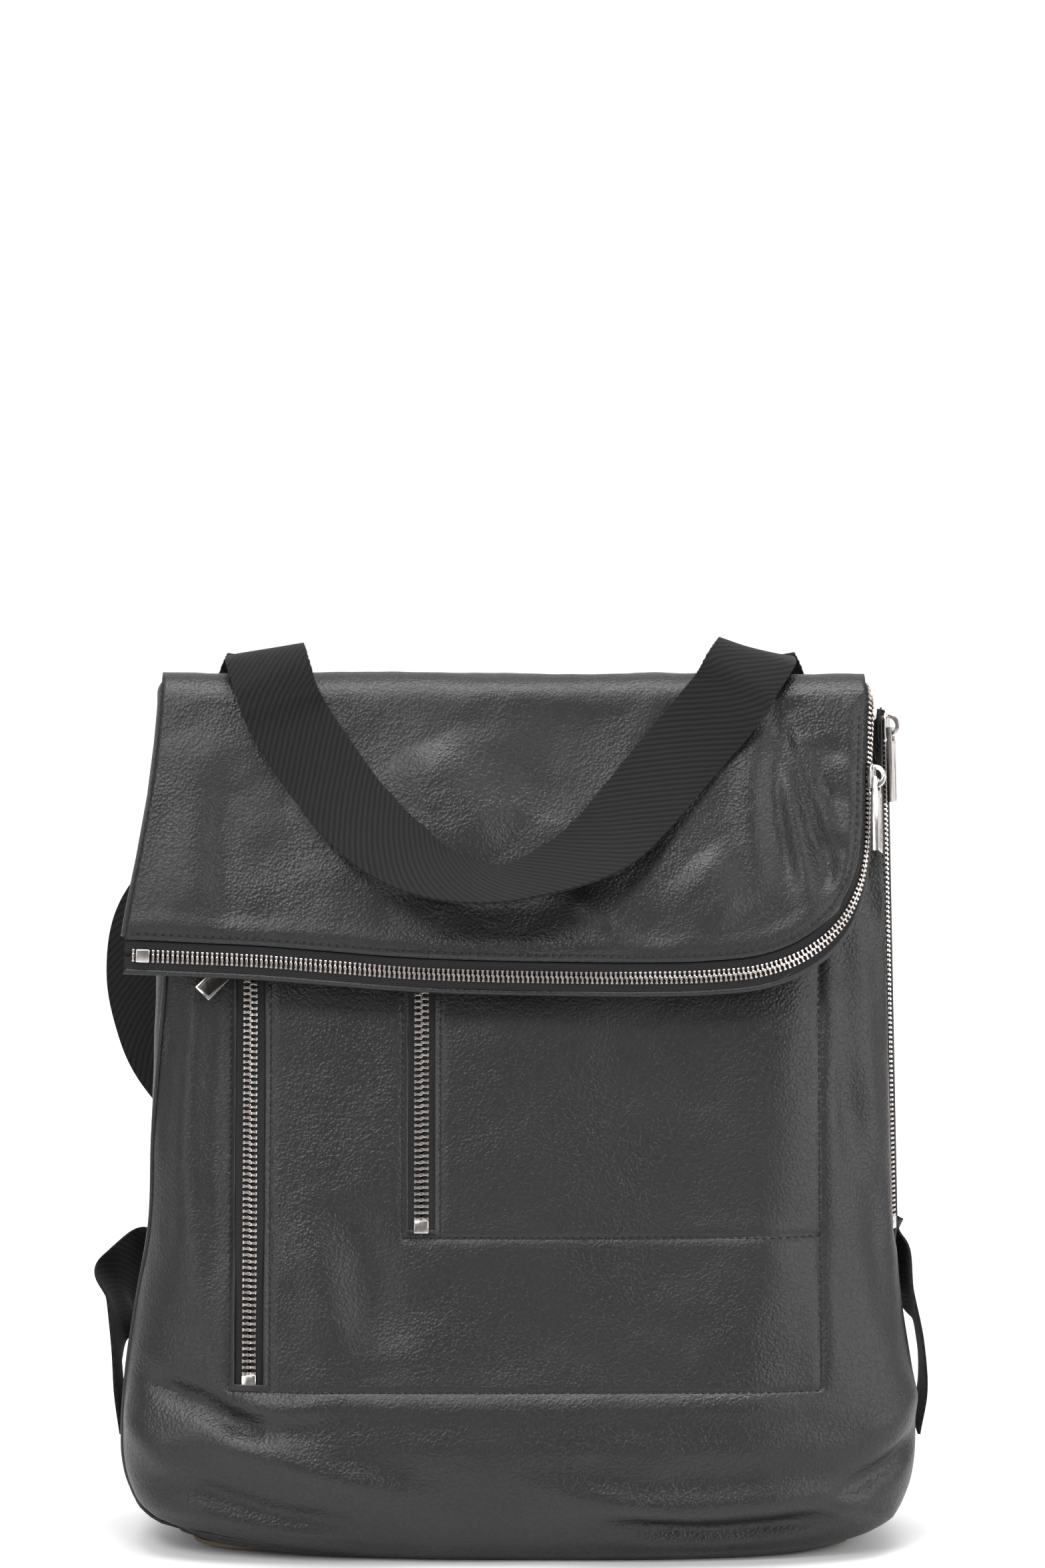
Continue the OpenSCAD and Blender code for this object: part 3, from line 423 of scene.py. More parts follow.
def section(z, right):
    """Half width, middle, half depth and squareness of the bag at height z, on one side."""
    half = curve(HALF_RIGHT if right else HALF_LEFT, z)
    low, high = linear(FRONTS, z), linear(BACKS, z)
    square = linear([(0, 4), (200, 4), (422, 5)], z)
    if right:
        square = linear([(0, 3.9), (110, 3.6), (175, 2.75), (422, 2.5)], z)
    return half, (low + high) / 2, (high - low) / 2, square


def section_y(x, z, front=True):
    """Depth coordinate of the front or back leather at x and z."""
    out = np.zeros(np.broadcast(x, z).shape)
    for right in (False, True):
        half, mid, deep, square = section(z, right)
        reach = np.clip(np.abs(x) / half, 0, 1)
        y = mid + (-1 if front else 1) * deep * (1 - reach ** square) ** (1 / square)
        out = np.where((np.asarray(x) > 0) == right, y, out)
    return out


def cad_front(x, z):
    """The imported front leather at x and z, where the pocket zips lie."""
    half = linear(CAD_HALF, z)
    low, high = linear(FRONTS, z), linear(BACKS, z)
    square = linear([(0, 4), (200, 4), (422, 5)], z)
    return (low + high) / 2 - (high - low) / 2 * (1 - (abs(x) / half) ** square) ** (1 / square)


class Place:
    """A right-handed frame: origin, across, up and outward, in mm."""

    def __init__(self, origin, across, up, out):
        self.o = np.array(origin, float)
        self.m = np.stack([np.array(v, float) for v in (across, up, out)])

    def __call__(self, x, y, z):
        p = np.stack(np.broadcast_arrays(np.asarray(x, float), y, z), axis=-1)
        return self.o + p @ self.m

    def turned(self, degrees):
        """Turned about its own up direction."""
        a = math.radians(degrees)
        x, y, z = self.m
        return Place(self.o, x * math.cos(a) - z * math.sin(a), y, z * math.cos(a) + x * math.sin(a))

    def shifted(self, x, y, z):
        return Place(self(x, y, z), *self.m)


FLAP = Place(FOLD, ACROSS, FLAP_UP, FLAP_OUT)


def pocket_place(x, z):
    rise = cad_front(x, POCKET_TOP) - cad_front(x, z)
    run = math.hypot(POCKET_TOP - z, rise)
    up = np.array([0, rise, POCKET_TOP - z]) / run
    mid_z = (z + POCKET_TOP) / 2
    yaw = math.degrees(math.atan((cad_front(x + 1, mid_z) - cad_front(x - 1, mid_z)) / 2))
    out = np.cross(ACROSS, up)
    made = Place((x, cad_front(x, z), z), ACROSS, up, out).turned(yaw)
    return made.shifted(0, 0, -TAPE_T), run


LONG, LONG_RUN = pocket_place(LONG_X, LONG_Z)
SHORT, SHORT_RUN = pocket_place(SHORT_X, SHORT_Z)


def side_place():
    ends = []
    for z in (SIDE_Z, SIDE_TOP):
        half = linear(CAD_HALF, z)
        ends.append(np.array([half, (linear(FRONTS, z) + linear(BACKS, z)) / 2, z]))
    up = ends[1] - ends[0]
    run = np.linalg.norm(up)
    up = up / run
    across = np.array([0, 1, 0]) - up * up[1]
    across /= np.linalg.norm(across)
    out = np.cross(across, up)
    return Place(ends[0], across, up, out).turned(-SIDE_TURN).shifted(0, 0, -TAPE_T - 0.2), run


SIDE, SIDE_RUN = side_place()


def rulings(low, high, step, *exact):
    """Even marks from low to high that also fall on the exact ones."""
    marks = sorted({float(low), float(high), *[float(e) for e in exact if low < e < high]})
    out = []
    for a, b in zip(marks, marks[1:]):
        out += list(np.linspace(a, b, max(1, round((b - a) / step)), endpoint=False))
    return np.array(out + [float(high)])


def around(*places, gap=0.9):
    """Marks on both sides of a sewn line, so that the leather can dip under it."""
    return [p + k * gap for p in places for k in (-2.2, -1, 0, 1, 2.2)]


# ---------------------------------------------------------------- front leather
SEWN_UPRIGHT = (LONG_X - 10.1, LONG_X + 10.1, SHORT_X - 9.4, SHORT_X + 9.4, 150.0)
SEWN_LOW, SEWN_MIDDLE = 88.0, 163.0
THROAT_Z = 418.0
INNER_LEFT, INNER_RIGHT = -160.0, 160.0


def seam_inset(z):
    """How far the left seam stands in from the bag's outline."""
    return curve([(0, 1.0), (150, 1.2), (200, 2.4), (300, 6.5), (440, 7.5)], z)


def right_rail(z, front):
    """Edge of the front or back leather at the right: beside the zip above its end, at a closed seam below."""
    side = -1 if front else 1
    y = (z - SIDE_Z) * SIDE_RUN / (SIDE_TOP - SIDE_Z)
    beside = SIDE(side * 6.5, y, TAPE_T + 1.5)
    half, mid, _, _ = section(z, True)
    closed = np.stack([half - 0.4, mid + side * 0.5, z], axis=-1)
    w = smooth_step((z - 148) / 14)[..., None]
    return closed * (1 - w) + beside * w


def bottom_lift(x, z):
    """The leather stands up off the floor at the bottom corners."""
    rise = curve([(-200, 13), (-165, 11), (-120, 5), (-60, 1), (0, 0), (80, 0.4), (140, 2.5), (180, 6), (200, 7)], x)
    return rise * np.clip(1 - z / 75, 0, 1) ** 2


FRONT_FOLDS = (
    # long soft hollows and swellings of the upper part
    ([(-92, 185), (-78, 150), (-70, 105)], 17, -2.6),
    ([(-104, 175), (-98, 140), (-92, 105)], 14, 1.7),
    ([(128, 300), (134, 230), (126, 160), (112, 100)], 24, 3.2),
    ([(60, 290), (66, 200), (58, 110)], 34, -1.5),
    ([(-166, 300), (-168, 220), (-164, 130)], 10, 2.2),
    ([(-152, 290), (-155, 210), (-152, 130)], 7, -1.6),
    ([(168, 330), (171, 240), (168, 150)], 8, 2.0),
    ([(160, 250), (172, 170), (178, 120)], 6, -1.8),
    # lower left
    ([(-178, 92), (-158, 80), (-128, 66)], 6.5, -5.5),
    ([(-160, 66), (-115, 52), (-52, 36)], 9, 4.2),
    ([(-188, 74), (-176, 62), (-166, 44)], 8, 3.0),
    ([(-172, 40), (-130, 26), (-84, 20)], 7, -3.0),
    ([(-184, 24), (-140, 17), (-78, 14)], 6, 2.6),
    ([(-150, 84), (-120, 78), (-96, 80)], 5, 1.6),
    # lower right
    ([(12, 40), (70, 31), (118, 33), (166, 36)], 8, 4.4),
    ([(46, 22), (100, 17), (152, 21)], 5.5, -4.6),
    ([(158, 34), (172, 46), (190, 62)], 5.5, -4.0),
    ([(166, 62), (178, 76), (190, 84)], 8, 2.6),
    ([(150, 30), (170, 22), (184, 14)], 6, 2.4),
)


def front_relief(x, z):
    """Height of the folds, dents and puffed edges of the front leather over its plain shape."""
    h = 1.1 * ripple(x, z, 75, 1) + 0.45 * ripple(x, z, 28, 2)
    h += 3.0 * np.exp(-((x / 130) ** 2) - ((z - 55) / 45) ** 2)
    h = folded(h, x, z, FRONT_FOLDS)
    h *= 1.35
    # puffed edges beside the sewn lines, and the dips under them
    h += fold_line(x, z, [(156, 330), (157, 200), (157, 92)], 4.5, 1.5, ends=0.1)
    h += fold_line(x, z, [(-140, 81.5), (0, 80), (152, 81)], 5, 1.5, ends=0.12)
    for u in SEWN_UPRIGHT:
        low = SEWN_MIDDLE if abs(u - SHORT_X) < 12 else SEWN_LOW
        h -= 0.95 * np.exp(-(((x - u) / 1.3) ** 2)) * smooth_step((z - low + 1) / 2) * smooth_step((334 - z) / 5)
    for level, left in ((SEWN_LOW, LONG_X - 10.1), (SEWN_MIDDLE, SHORT_X - 9.4)):
        inside = smooth_step((x - left + 1) / 2) * smooth_step((151 - x) / 2)
        h -= 0.95 * np.exp(-(((z - level) / 1.3) ** 2)) * inside
    # the leather's turned edges stand up round the zips
    for u, half, low in ((LONG_X, WINDOW, LONG_Z - 3), (SHORT_X, 6.75, SHORT_Z - 3)):
        off = np.maximum(np.abs(x - u) - half, low - z)
        h += 1.1 * np.exp(-((np.clip(off, 0, None) / 2.3) ** 2)) * (z > low - 12)
    return h


SIDE_SPREAD = 38.0  # flat width that each curved side takes up in the folds' own coordinates


def wall_grid(front, top):
    """Points of one wall of the bag, with the flat place (x, z) of each."""
    rows = rulings(0, top, 3.2, 2, 5, 9, LONG_Z - 3, SHORT_Z - 3, 324, *around(SEWN_LOW, SEWN_MIDDLE))
    if front:
        inner = rulings(INNER_LEFT, INNER_RIGHT, 3.2, LONG_X - WINDOW, LONG_X + WINDOW, SHORT_X - 6.75, SHORT_X + 6.75,
                        *around(*SEWN_UPRIGHT))
    else:
        inner = rulings(INNER_LEFT, INNER_RIGHT, 6.4)
    outer = 17
    grid, flat = [], []
    for z in rows:
        zz = np.full(1, z)
        line, place = [], []
        for right in (False, True):
            half, mid, deep, square = (float(np.ravel(v)[0]) for v in section(zz, right))
            edge = min(abs(INNER_RIGHT if right else INNER_LEFT), half - 6)
            a0 = math.acos((edge / half) ** (square / 2))
            a1 = 0.0 if right else math.acos(((half - float(seam_inset(z))) / half) ** (square / 2))
            if not right and not front:
                a1 = -a1
            angles = np.linspace(a1, a0, outer + 1)[:-1]
            x = half * np.sign(np.cos(angles)) * np.abs(np.cos(angles)) ** (2 / square)
            y = mid + (-1 if front else 1) * deep * np.sign(np.sin(angles)) * np.abs(np.sin(angles)) ** (2 / square)
            pts = np.stack([x if right else -x, y, np.full(outer, z)], axis=-1)
            if right:
                rail = right_rail(zz, front)[0]
                w = (1 - smooth_step(np.linspace(0, 1, outer) / 0.75))[:, None]
                pts = pts + (rail - pts[0]) * w
            out_from_edge = edge + (1 - np.linspace(0, 1, outer + 1)[:-1]) * SIDE_SPREAD
            spots = np.stack([(1 if right else -1) * out_from_edge, np.full(outer, z)], axis=-1)
            line.append(pts[::-1] if right else pts)
            place.append(spots[::-1] if right else spots)
            if not right:
                xs = inner * (edge / abs(INNER_LEFT)) if edge < abs(INNER_LEFT) else inner
                mid_pts = np.stack([xs, section_y(xs, np.full(len(xs), z), front), np.full(len(xs), z)], axis=-1)
                line.append(mid_pts)
                place.append(np.stack([xs, np.full(len(xs), z)], axis=-1))
        grid.append(np.concatenate(line))
        flat.append(np.concatenate(place))
    return np.array(grid), np.array(flat)


grid, flat = wall_grid(True, THROAT_Z)
relief = front_relief(flat[..., 0], flat[..., 1])
edge_fade = np.ones(grid.shape[1])
edge_fade[:5] = np.linspace(0.0, 1, 5)
edge_fade[-5:] = np.linspace(1, 0.0, 5)
relief = relief * edge_fade[None, :] * smooth_step(flat[..., 1] / 10)
grid = set_in(grid, relief)
grid[..., 2] += bottom_lift(grid[..., 0], grid[..., 2])
cx = (flat[:-1, :-1, 0] + flat[1:, 1:, 0]) / 2
cz = (flat[:-1, :-1, 1] + flat[1:, 1:, 1]) / 2
window = (np.abs(cx - LONG_X) < WINDOW) & (cz > LONG_Z - 3) & (cz < 324)
window |= (np.abs(cx - SHORT_X) < 6.75) & (cz > SHORT_Z - 3) & (cz < 324)
front = sheet_piece("front_leather", grid, LEATHER, hole=window, thick=LEATHER_T, rim=EDGE)
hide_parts("front_panel")

BACK_FOLDS = (
    ([(-150, 70), (-60, 58), (60, 62), (150, 74)], 12, -3.2),
    ([(-160, 40), (-40, 34), (70, 38), (160, 44)], 10, 3.0),
    ([(-120, 330), (-90, 220), (-110, 120)], 26, -2.4),
    ([(120, 320), (96, 210), (118, 110)], 26, -2.4),
    ([(-30, 360), (0, 240), (-10, 120)], 40, 2.4),
)
grid, flat = wall_grid(False, 404.0)
x, z = flat[..., 0], flat[..., 1]
relief = 1.8 * ripple(x, z, 90, 5) + 0.6 * ripple(x, z, 30, 6)
relief = folded(relief, x, z, BACK_FOLDS)
fade = np.ones(grid.shape[1])
fade[:5] = np.linspace(0, 1, 5)
fade[-5:] = np.linspace(1, 0, 5)
relief = relief * fade[None, :] * smooth_step(z / 10) * smooth_step((404 - z) / 30)
grid = set_in(grid, -relief)
grid[..., 2] += bottom_lift(grid[..., 0], grid[..., 2]) * 0.6
back = sheet_piece("back_leather", grid, LEATHER, flip=True, thick=LEATHER_T, rim=EDGE)
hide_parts("back_panel")

# base: a tray of leather whose rim rises a little behind the walls
BASE_GAP, BASE_RIM = 0.05, 5.0
turns = np.linspace(0, 2 * math.pi, 121)
rings = np.array([0.0, 0.2, 0.4, 0.6, 0.75, 0.86, 0.93, 0.965, 0.985])
base_rows = []
for f in rings:
    ring = []
    for a in turns:
        right = math.cos(a) > 0
        half, mid, deep, square = (float(np.ravel(v)[0]) for v in section(np.array([3.0]), right))
        x = half * np.sign(math.cos(a)) * abs(math.cos(a)) ** (2 / square) * f
        y = mid + deep * np.sign(math.sin(a)) * abs(math.sin(a)) ** (2 / square) * f
        rim = BASE_GAP + BASE_RIM * max(0, (f - 0.9) / 0.1) ** 2
        ring.append((x, y, rim + bottom_lift(np.array(x), np.array(0.0)) * f ** 6 * 0.75))
    base_rows.append(ring)
base_grid = np.array(base_rows)
base_waves = 0.35 * (1 + ripple(base_grid[..., 0], base_grid[..., 1], 50, 9))
base_grid[..., 2] += base_waves * np.linspace(0, 1, len(rings))[:, None]
base = sheet_piece("base_leather", base_grid, LEATHER, flip=False, thick=0.0)
solid = base.modifiers.new("thickness", "SOLIDIFY")
solid.thickness = 2.0 * MM
solid.offset = -1  # the thickness goes up into the bag
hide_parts("base_panel")


# ---------------------------------------------------------------- flap
THETA_MAX = math.pi - LEAN - math.radians(5.2)
ROLL = THETA_MAX * FOLD_R


def flap_place(x, s, n):
    """A point of the flap: x across, s up the leather (0 where the fold starts, then over it and down the back),
    and n out from the fold's middle."""
    x, s, n = np.broadcast_arrays(np.asarray(x, float), s, n)
    theta = np.clip(s / FOLD_R, 0, THETA_MAX)
    beyond = np.clip(s - ROLL, 0, None)
    below = np.clip(s, None, 0)
    c, k = np.cos(theta)[..., None], np.sin(theta)[..., None]
    out = FLAP_OUT * c + FLAP_UP * k
    ahead = FLAP_UP * c - FLAP_OUT * k
    return FOLD + x[..., None] * ACROSS + n[..., None] * out + (beyond + below)[..., None] * ahead


def flap_normal(s):
    theta = np.clip(np.asarray(s, float) / FOLD_R, 0, THETA_MAX)[..., None]
    return FLAP_OUT * np.cos(theta) + FLAP_UP * np.sin(theta)


BACK_START = ROLL + 26.0
EDGE_LINE = [(-197.5, -120.5), (-165, -122), (-133, -123.5), (-95, -126.5), (-60, -129.3), (-20, -131), (20, -131.8),
             (60, -132.2), (95, -131.2), (118, -128.6), (135, -122.8), (149, -113.5), (160, -101), (167, -86),
             (170, -70), (171, -52), (171.6, -30), (172.5, -10), (173, 0)]
LEFT_LINE = [(-181, BACK_START), (-181, 30), (-180.5, 0), (-182, -19), (-185, -46), (-190, -77), (-195, -104),
             (-197.5, -120.5)]


FLAP_FOLDS = (
    ([(-50, -22), (-36, -48), (-12, -76)], 21, 4.2),
    ([(-112, -44), (-84, -72), (-50, -96)], 13, 3.2),
    ([(-132, -30), (-100, -66), (-66, -92)], 9, -1.8),
    ([(-34, -97), (-8, -99), (18, -97)], 5.5, 1.8),
    ([(26, -98), (38, -106), (46, -116)], 6, 1.6),
    ([(10, -60), (24, -30), (30, 0)], 26, -1.8),
    ([(84, -82), (98, -98), (108, -112)], 17, 3.4),
    ([(60, -110), (66, -122), (70, -130)], 9, -1.2),
    # fan of puckers drawn in under the right end of the handle
    ([(126, -4), (140, -40), (152, -80), (160, -112)], 6, -3.0),
    ([(136, -10), (147, -42), (156, -76)], 5, 2.2),
    ([(140, -14), (152, -44), (162, -66)], 4, -1.8),
    ([(131, -12), (128, -44), (134, -92)], 6, -2.0),
    ([(130, -20), (136, -60), (144, -104)], 5, 2.2),
    ([(118, -20), (114, -56), (122, -96)], 7, 1.6),
    ([(133, 2), (136, -10), (138, -20)], 11, -1.4),
)


def flap_relief(x, s):
    h = 0.9 * ripple(x, s, 60, 11) + 0.35 * ripple(x, s, 22, 12)
    h = folded(h, x, s, FLAP_FOLDS)
    # small cross puckers at the right edge
    for k, u in enumerate((163.0, 166.0, 160.0)):
        y = -26 - 24 * k
        h += fold_line(x, s, [(u - 14, y + 6), (u - 4, y), (u + 6, y - 3)], 4, -1.1)
    # left end, and the roll of the fold
    h += fold_line(x, s, [(-166, -14), (-160, -60), (-168, -108)], 15, 1.8)
    h += fold_line(x, s, [(-148, -40), (-150, -80), (-142, -116)], 8, -1.2)
    h += fold_line(x, s, [(-120, 8), (-40, 6), (60, 7), (130, 4)], 12, 0.8)
    return 1.35 * h


def patch(bottom, right, top, left, rows, cols):
    """A grid that fills four joined lines; rows run from top to bottom and columns from left to right."""
    u, v = np.linspace(0, 1, cols), np.linspace(0, 1, rows)

    def on(line, t):
        run = np.concatenate([[0], np.cumsum(np.linalg.norm(np.diff(line, axis=0), axis=1))])
        return np.stack([np.interp(t * run[-1], run, line[:, k]) for k in range(line.shape[1])], axis=1)

    b, t_, l, r = on(bottom, u), on(top, u), on(left, v), on(right, v)
    U, V = u[None, :, None], v[:, None, None]
    return (
        (1 - V) * t_[None] + V * b[None] + (1 - U) * l[:, None] + U * r[:, None]
        - ((1 - U) * (1 - V) * t_[0] + U * (1 - V) * t_[-1] + (1 - U) * V * b[0] + U * V * b[-1])
    )


edge_path = through(EDGE_LINE, 400)
turn_at = int(np.argmin(np.hypot(edge_path[:, 0] - 156.5, edge_path[:, 1] + 106)))
bottom_line = edge_path[: turn_at + 1]
right_line = np.concatenate([[(173, BACK_START), (173, 30)], edge_path[turn_at:][::-1]])
left_line = through(LEFT_LINE, 200)
top_line = np.array([(-181, BACK_START), (173, BACK_START)], float)
spot = patch(bottom_line, right_line, top_line, left_line, 92, 150)
# distance from the sewn edge
fx, fs = spot[..., 0], spot[..., 1]
edge_gap = np.full(fx.shape, 1e9)
for p in edge_path[::2]:
    edge_gap = np.minimum(edge_gap, np.hypot(fx - p[0], fs - p[1]))
lift = flap_relief(fx, fs) * smooth_step(edge_gap / 14)
lift -= 0.9 * np.exp(-(((edge_gap - 3) / 1.4) ** 2)) * (fs < 20)
lift += 0.7 * np.exp(-(((edge_gap - 8) / 4.0) ** 2)) * (fs < 0)
lift -= 1.3 * np.exp(-((edge_gap / 1.6) ** 2))
# at the ends, past the yoke, the leather laps over the back panel
lift += 0.6 + 1.9 * smooth_step((fs - ROLL - 1) / 9) * smooth_step((np.abs(fx) - 158) / 6)
grid = flap_place(fx, fs, FOLD_R + lift)
flap_outer = sheet_piece("flap_outer_leather", grid, LEATHER, flip=True, thick=LEATHER_T, rim=EDGE)
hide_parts("flap_outer", "fold_leather")

# inner leather of the flap: from the throat, round its crease, and down inside the flap to the hem
strip_path = edge_path[:-1]
step = np.gradient(strip_path, axis=0)
step /= np.linalg.norm(step, axis=1, keepdims=True)
outward = np.stack([step[:, 1], -step[:, 0]], axis=1)
HEM_BEVEL, SIDE_BEVEL = 14.0, 72.0
STRIP_N = FOLD_R - LEATHER_T - 0.2


def strip_bevel(direction):
    angle = np.degrees(np.arctan2(direction[:, 1], direction[:, 0]))
    return np.radians(HEM_BEVEL + (SIDE_BEVEL - HEM_BEVEL) * smooth_step(angle / 90))


def strip_frames():
    """Origin, along, across and outward directions of the main zip's strip, from the left end up over the fold."""
    bevel = strip_bevel(step)
    face_edge = flap_place(strip_path[:, 0], strip_path[:, 1], STRIP_N)
    flat_out = outward[:, :1] * ACROSS + outward[:, 1:] * FLAP_UP
    along = step[:, :1] * ACROSS + step[:, 1:] * FLAP_UP
    c, k = np.cos(bevel)[:, None], np.sin(bevel)[:, None]
    across = flat_out * c - FLAP_OUT * k
    up = flat_out * k + FLAP_OUT * c
    s = np.arange(0.6, ROLL + 2.0, 1.2)
    normal = flap_normal(s)
    roll_c, roll_k = math.cos(math.radians(SIDE_BEVEL)), math.sin(math.radians(SIDE_BEVEL))
    x = np.full(len(s), 173.0)
    roll_edge = flap_place(x, s, STRIP_N)
    roll_across = ACROSS * roll_c - normal * roll_k
    roll_up = ACROSS * roll_k + normal * roll_c
    roll_along = np.gradient(flap_place(x, s, FOLD_R), axis=0)
    roll_along /= np.linalg.norm(roll_along, axis=1, keepdims=True)
    pairs = ((face_edge, roll_edge), (along, roll_along), (across, roll_across), (up, roll_up))
    return [np.concatenate(pair) for pair in pairs]


S_O, S_T, S_A, S_U = strip_frames()
S_RUN = np.concatenate([[0], np.cumsum(np.linalg.norm(np.diff(S_O, axis=0), axis=1))])
FOLD_AT = len(strip_path)


def strip_point(i, across, up):
    return S_O[i] + S_A[i] * across + S_U[i] * up


def tape_between(name, origin, across, up, run, edges, body, replaced=(), thick=TAPE_T, crown=0.0):
    """Woven tape along a strip, between pairs of crosswise edges."""
    made = []
    for k, (e0, e1) in enumerate(edges):
        w = np.linspace(0, 1, 7)
        grid = origin[:, None] + across[:, None] * (e0 + (e1 - e0) * w)[None, :, None]
        grid = grid + up[:, None] * (crown * np.sin(math.pi * w))[None, :, None]
        uv = np.stack(np.broadcast_arrays((e0 + (e1 - e0) * w)[None, :], run[:, None]), axis=-1)
        piece = sheet_piece(f"{name}_{k + 1}", grid, TAPE, uv=uv, thick=thick)
        made.append(piece)
    bpy.context.view_layer.update()
    return join(name, made, body, replaced)


def plain(obj):
    """The object with its modifiers turned into mesh."""
    graph = bpy.context.evaluated_depsgraph_get()
    mesh = bpy.data.meshes.new_from_object(obj.evaluated_get(graph))
    obj.modifiers.clear()
    obj.data = mesh
    return obj


def join(name, objects, body=None, replaced=()):
    for o in objects:
        plain(o)
    mesh = bpy.data.meshes.new(name)
    bm = bmesh.new()
    materials = []
    for o in objects:
        start = len(bm.faces)
        bm.from_mesh(o.data)
        bm.faces.ensure_lookup_table()
        slots = list(o.data.materials)
        for f in bm.faces[start:]:
            m = slots[f.material_index]
            if m not in materials:
                materials.append(m)
            f.material_index = materials.index(m)
    bm.to_mesh(mesh)
    bm.free()
    for o in objects:
        bpy.data.objects.remove(o)
    made = make_object(name, mesh, *materials)
    if body:
        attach(made, body)
    if replaced:
        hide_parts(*replaced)
    return made


# ---------------------------------------------------------------- rows of small pieces along a path
def row_tree():
    tree = bpy.data.node_groups.new("row_of_pieces", "GeometryNodeTree")
    face = tree.interface
    face.new_socket("Geometry", in_out="INPUT", socket_type="NodeSocketGeometry")
    for socket, kind in (("Piece", "NodeSocketObject"), ("Pitch", "NodeSocketFloat"), ("Finish", "NodeSocketMaterial")):
        face.new_socket(socket, in_out="INPUT", socket_type=kind)
    face.new_socket("Geometry", in_out="OUTPUT", socket_type="NodeSocketGeometry")
    n, link = tree.nodes, tree.links.new
    source, result = n.new("NodeGroupInput"), n.new("NodeGroupOutput")
    line = n.new("GeometryNodeMeshToCurve")
    link(source.outputs["Geometry"], line.inputs["Mesh"])
    spaced = n.new("GeometryNodeResampleCurve")
    spaced.mode = "LENGTH"
    link(line.outputs["Curve"], spaced.inputs["Curve"])
    link(source.outputs["Pitch"], spaced.inputs["Length"])
    tangent = n.new("GeometryNodeInputTangent")
    outward_name = n.new("GeometryNodeInputNamedAttribute")
    outward_name.data_type = "FLOAT_VECTOR"
    outward_name.inputs["Name"].default_value = "outward"
    turn = n.new("FunctionNodeAxesToRotation")
    turn.primary_axis, turn.secondary_axis = "Z", "Y"
    link(outward_name.outputs["Attribute"], turn.inputs["Primary Axis"])
    link(tangent.outputs["Tangent"], turn.inputs["Secondary Axis"])
    info = n.new("GeometryNodeObjectInfo")
    link(source.outputs["Piece"], info.inputs["Object"])
    place = n.new("GeometryNodeInstanceOnPoints")
    link(spaced.outputs["Curve"], place.inputs["Points"])
    link(info.outputs["Geometry"], place.inputs["Instance"])
    link(turn.outputs["Rotation"], place.inputs["Rotation"])
    real = n.new("GeometryNodeRealizeInstances")
    link(place.outputs["Instances"], real.inputs["Geometry"])
    finish = n.new("GeometryNodeSetMaterial")
    link(real.outputs["Geometry"], finish.inputs["Geometry"])
    link(source.outputs["Finish"], finish.inputs["Material"])
    link(finish.outputs["Geometry"], result.inputs["Geometry"])
    return tree


ROW = row_tree()
SOCKETS = {s.name: s.identifier for s in ROW.interface.items_tree if s.in_out == "INPUT"}


def row_of(name, points, outwards, piece, pitch, finish, skip=0.0):
    """One piece every pitch mm along the points, its Y along the line and its Z outward."""
    points, outwards = np.asarray(points, float), np.asarray(outwards, float)
    if skip:
        run = np.concatenate([[0], np.cumsum(np.linalg.norm(np.diff(points, axis=0), axis=1))])
        want = np.linspace(skip, run[-1], len(points))
        points = np.stack([np.interp(want, run, points[:, k]) for k in range(3)], axis=1)
        outwards = np.stack([np.interp(want, run, outwards[:, k]) for k in range(3)], axis=1)
    mesh = bpy.data.meshes.new(name)
    mesh.from_pydata((points * MM).tolist(), [(i, i + 1) for i in range(len(points) - 1)], [])
    layer = mesh.attributes.new("outward", "FLOAT_VECTOR", "POINT")
    layer.data.foreach_set("vector", outwards.astype(np.float32).ravel())
    made = make_object(name, mesh)
    grow = made.modifiers.new("row", "NODES")
    grow.node_group = ROW
    grow[SOCKETS["Piece"]] = piece
    grow[SOCKETS["Pitch"]] = pitch * MM
    grow[SOCKETS["Finish"]] = finish
    plain(made)
    if "outward" in made.data.attributes:
        made.data.attributes.remove(made.data.attributes["outward"])
    if not made.data.materials:
        made.data.materials.append(finish)
    return made


def block(name, wide, long, high, round_off, taper=0.0, off=(0, 0, 0), segments=1):
    """A bevelled block; taper narrows its -X end."""
    bm = bmesh.new()
    bmesh.ops.create_cube(bm, size=1.0)
    for v in bm.verts:
        squeeze = 1 - taper * (0.5 - v.co.x)
        v.co = Vector((v.co.x * wide + off[0], v.co.y * long * squeeze + off[1], v.co.z * high + off[2])) * MM
    bmesh.ops.bevel(bm, geom=bm.edges[:], offset=round_off * MM, segments=segments, affect="EDGES", profile=0.6)
    mesh = bpy.data.meshes.new(name)
    bm.to_mesh(mesh)
    bm.free()
    return make_object(name, mesh)


def tooth_template(name, reach, pitch):
    """One zip tooth: a head that reaches over the middle of the chain, on a narrower stem."""
    head = block(name + "_head", 1.5, pitch * 0.5, TOOTH_H + 0.25, 0.22, off=(-0.35, 0, TOOTH_H / 2 + 0.1))
    stem_at = (-reach / 2 - 0.2, 0, TOOTH_H / 2)
    stem = block(name + "_stem", reach - 0.6, pitch * 0.36, TOOTH_H - 0.15, 0.18, off=stem_at)
    foot = block(name + "_foot", 0.9, pitch * 0.56, TOOTH_H, 0.2, off=(-reach + 0.35, 0, TOOTH_H / 2))
    bm = bmesh.new()
    for o in (head, stem, foot):
        bm.from_mesh(o.data)
        bpy.data.objects.remove(o)
    mesh = bpy.data.meshes.new(name)
    bm.to_mesh(mesh)
    bm.free()
    return make_object(name, mesh)


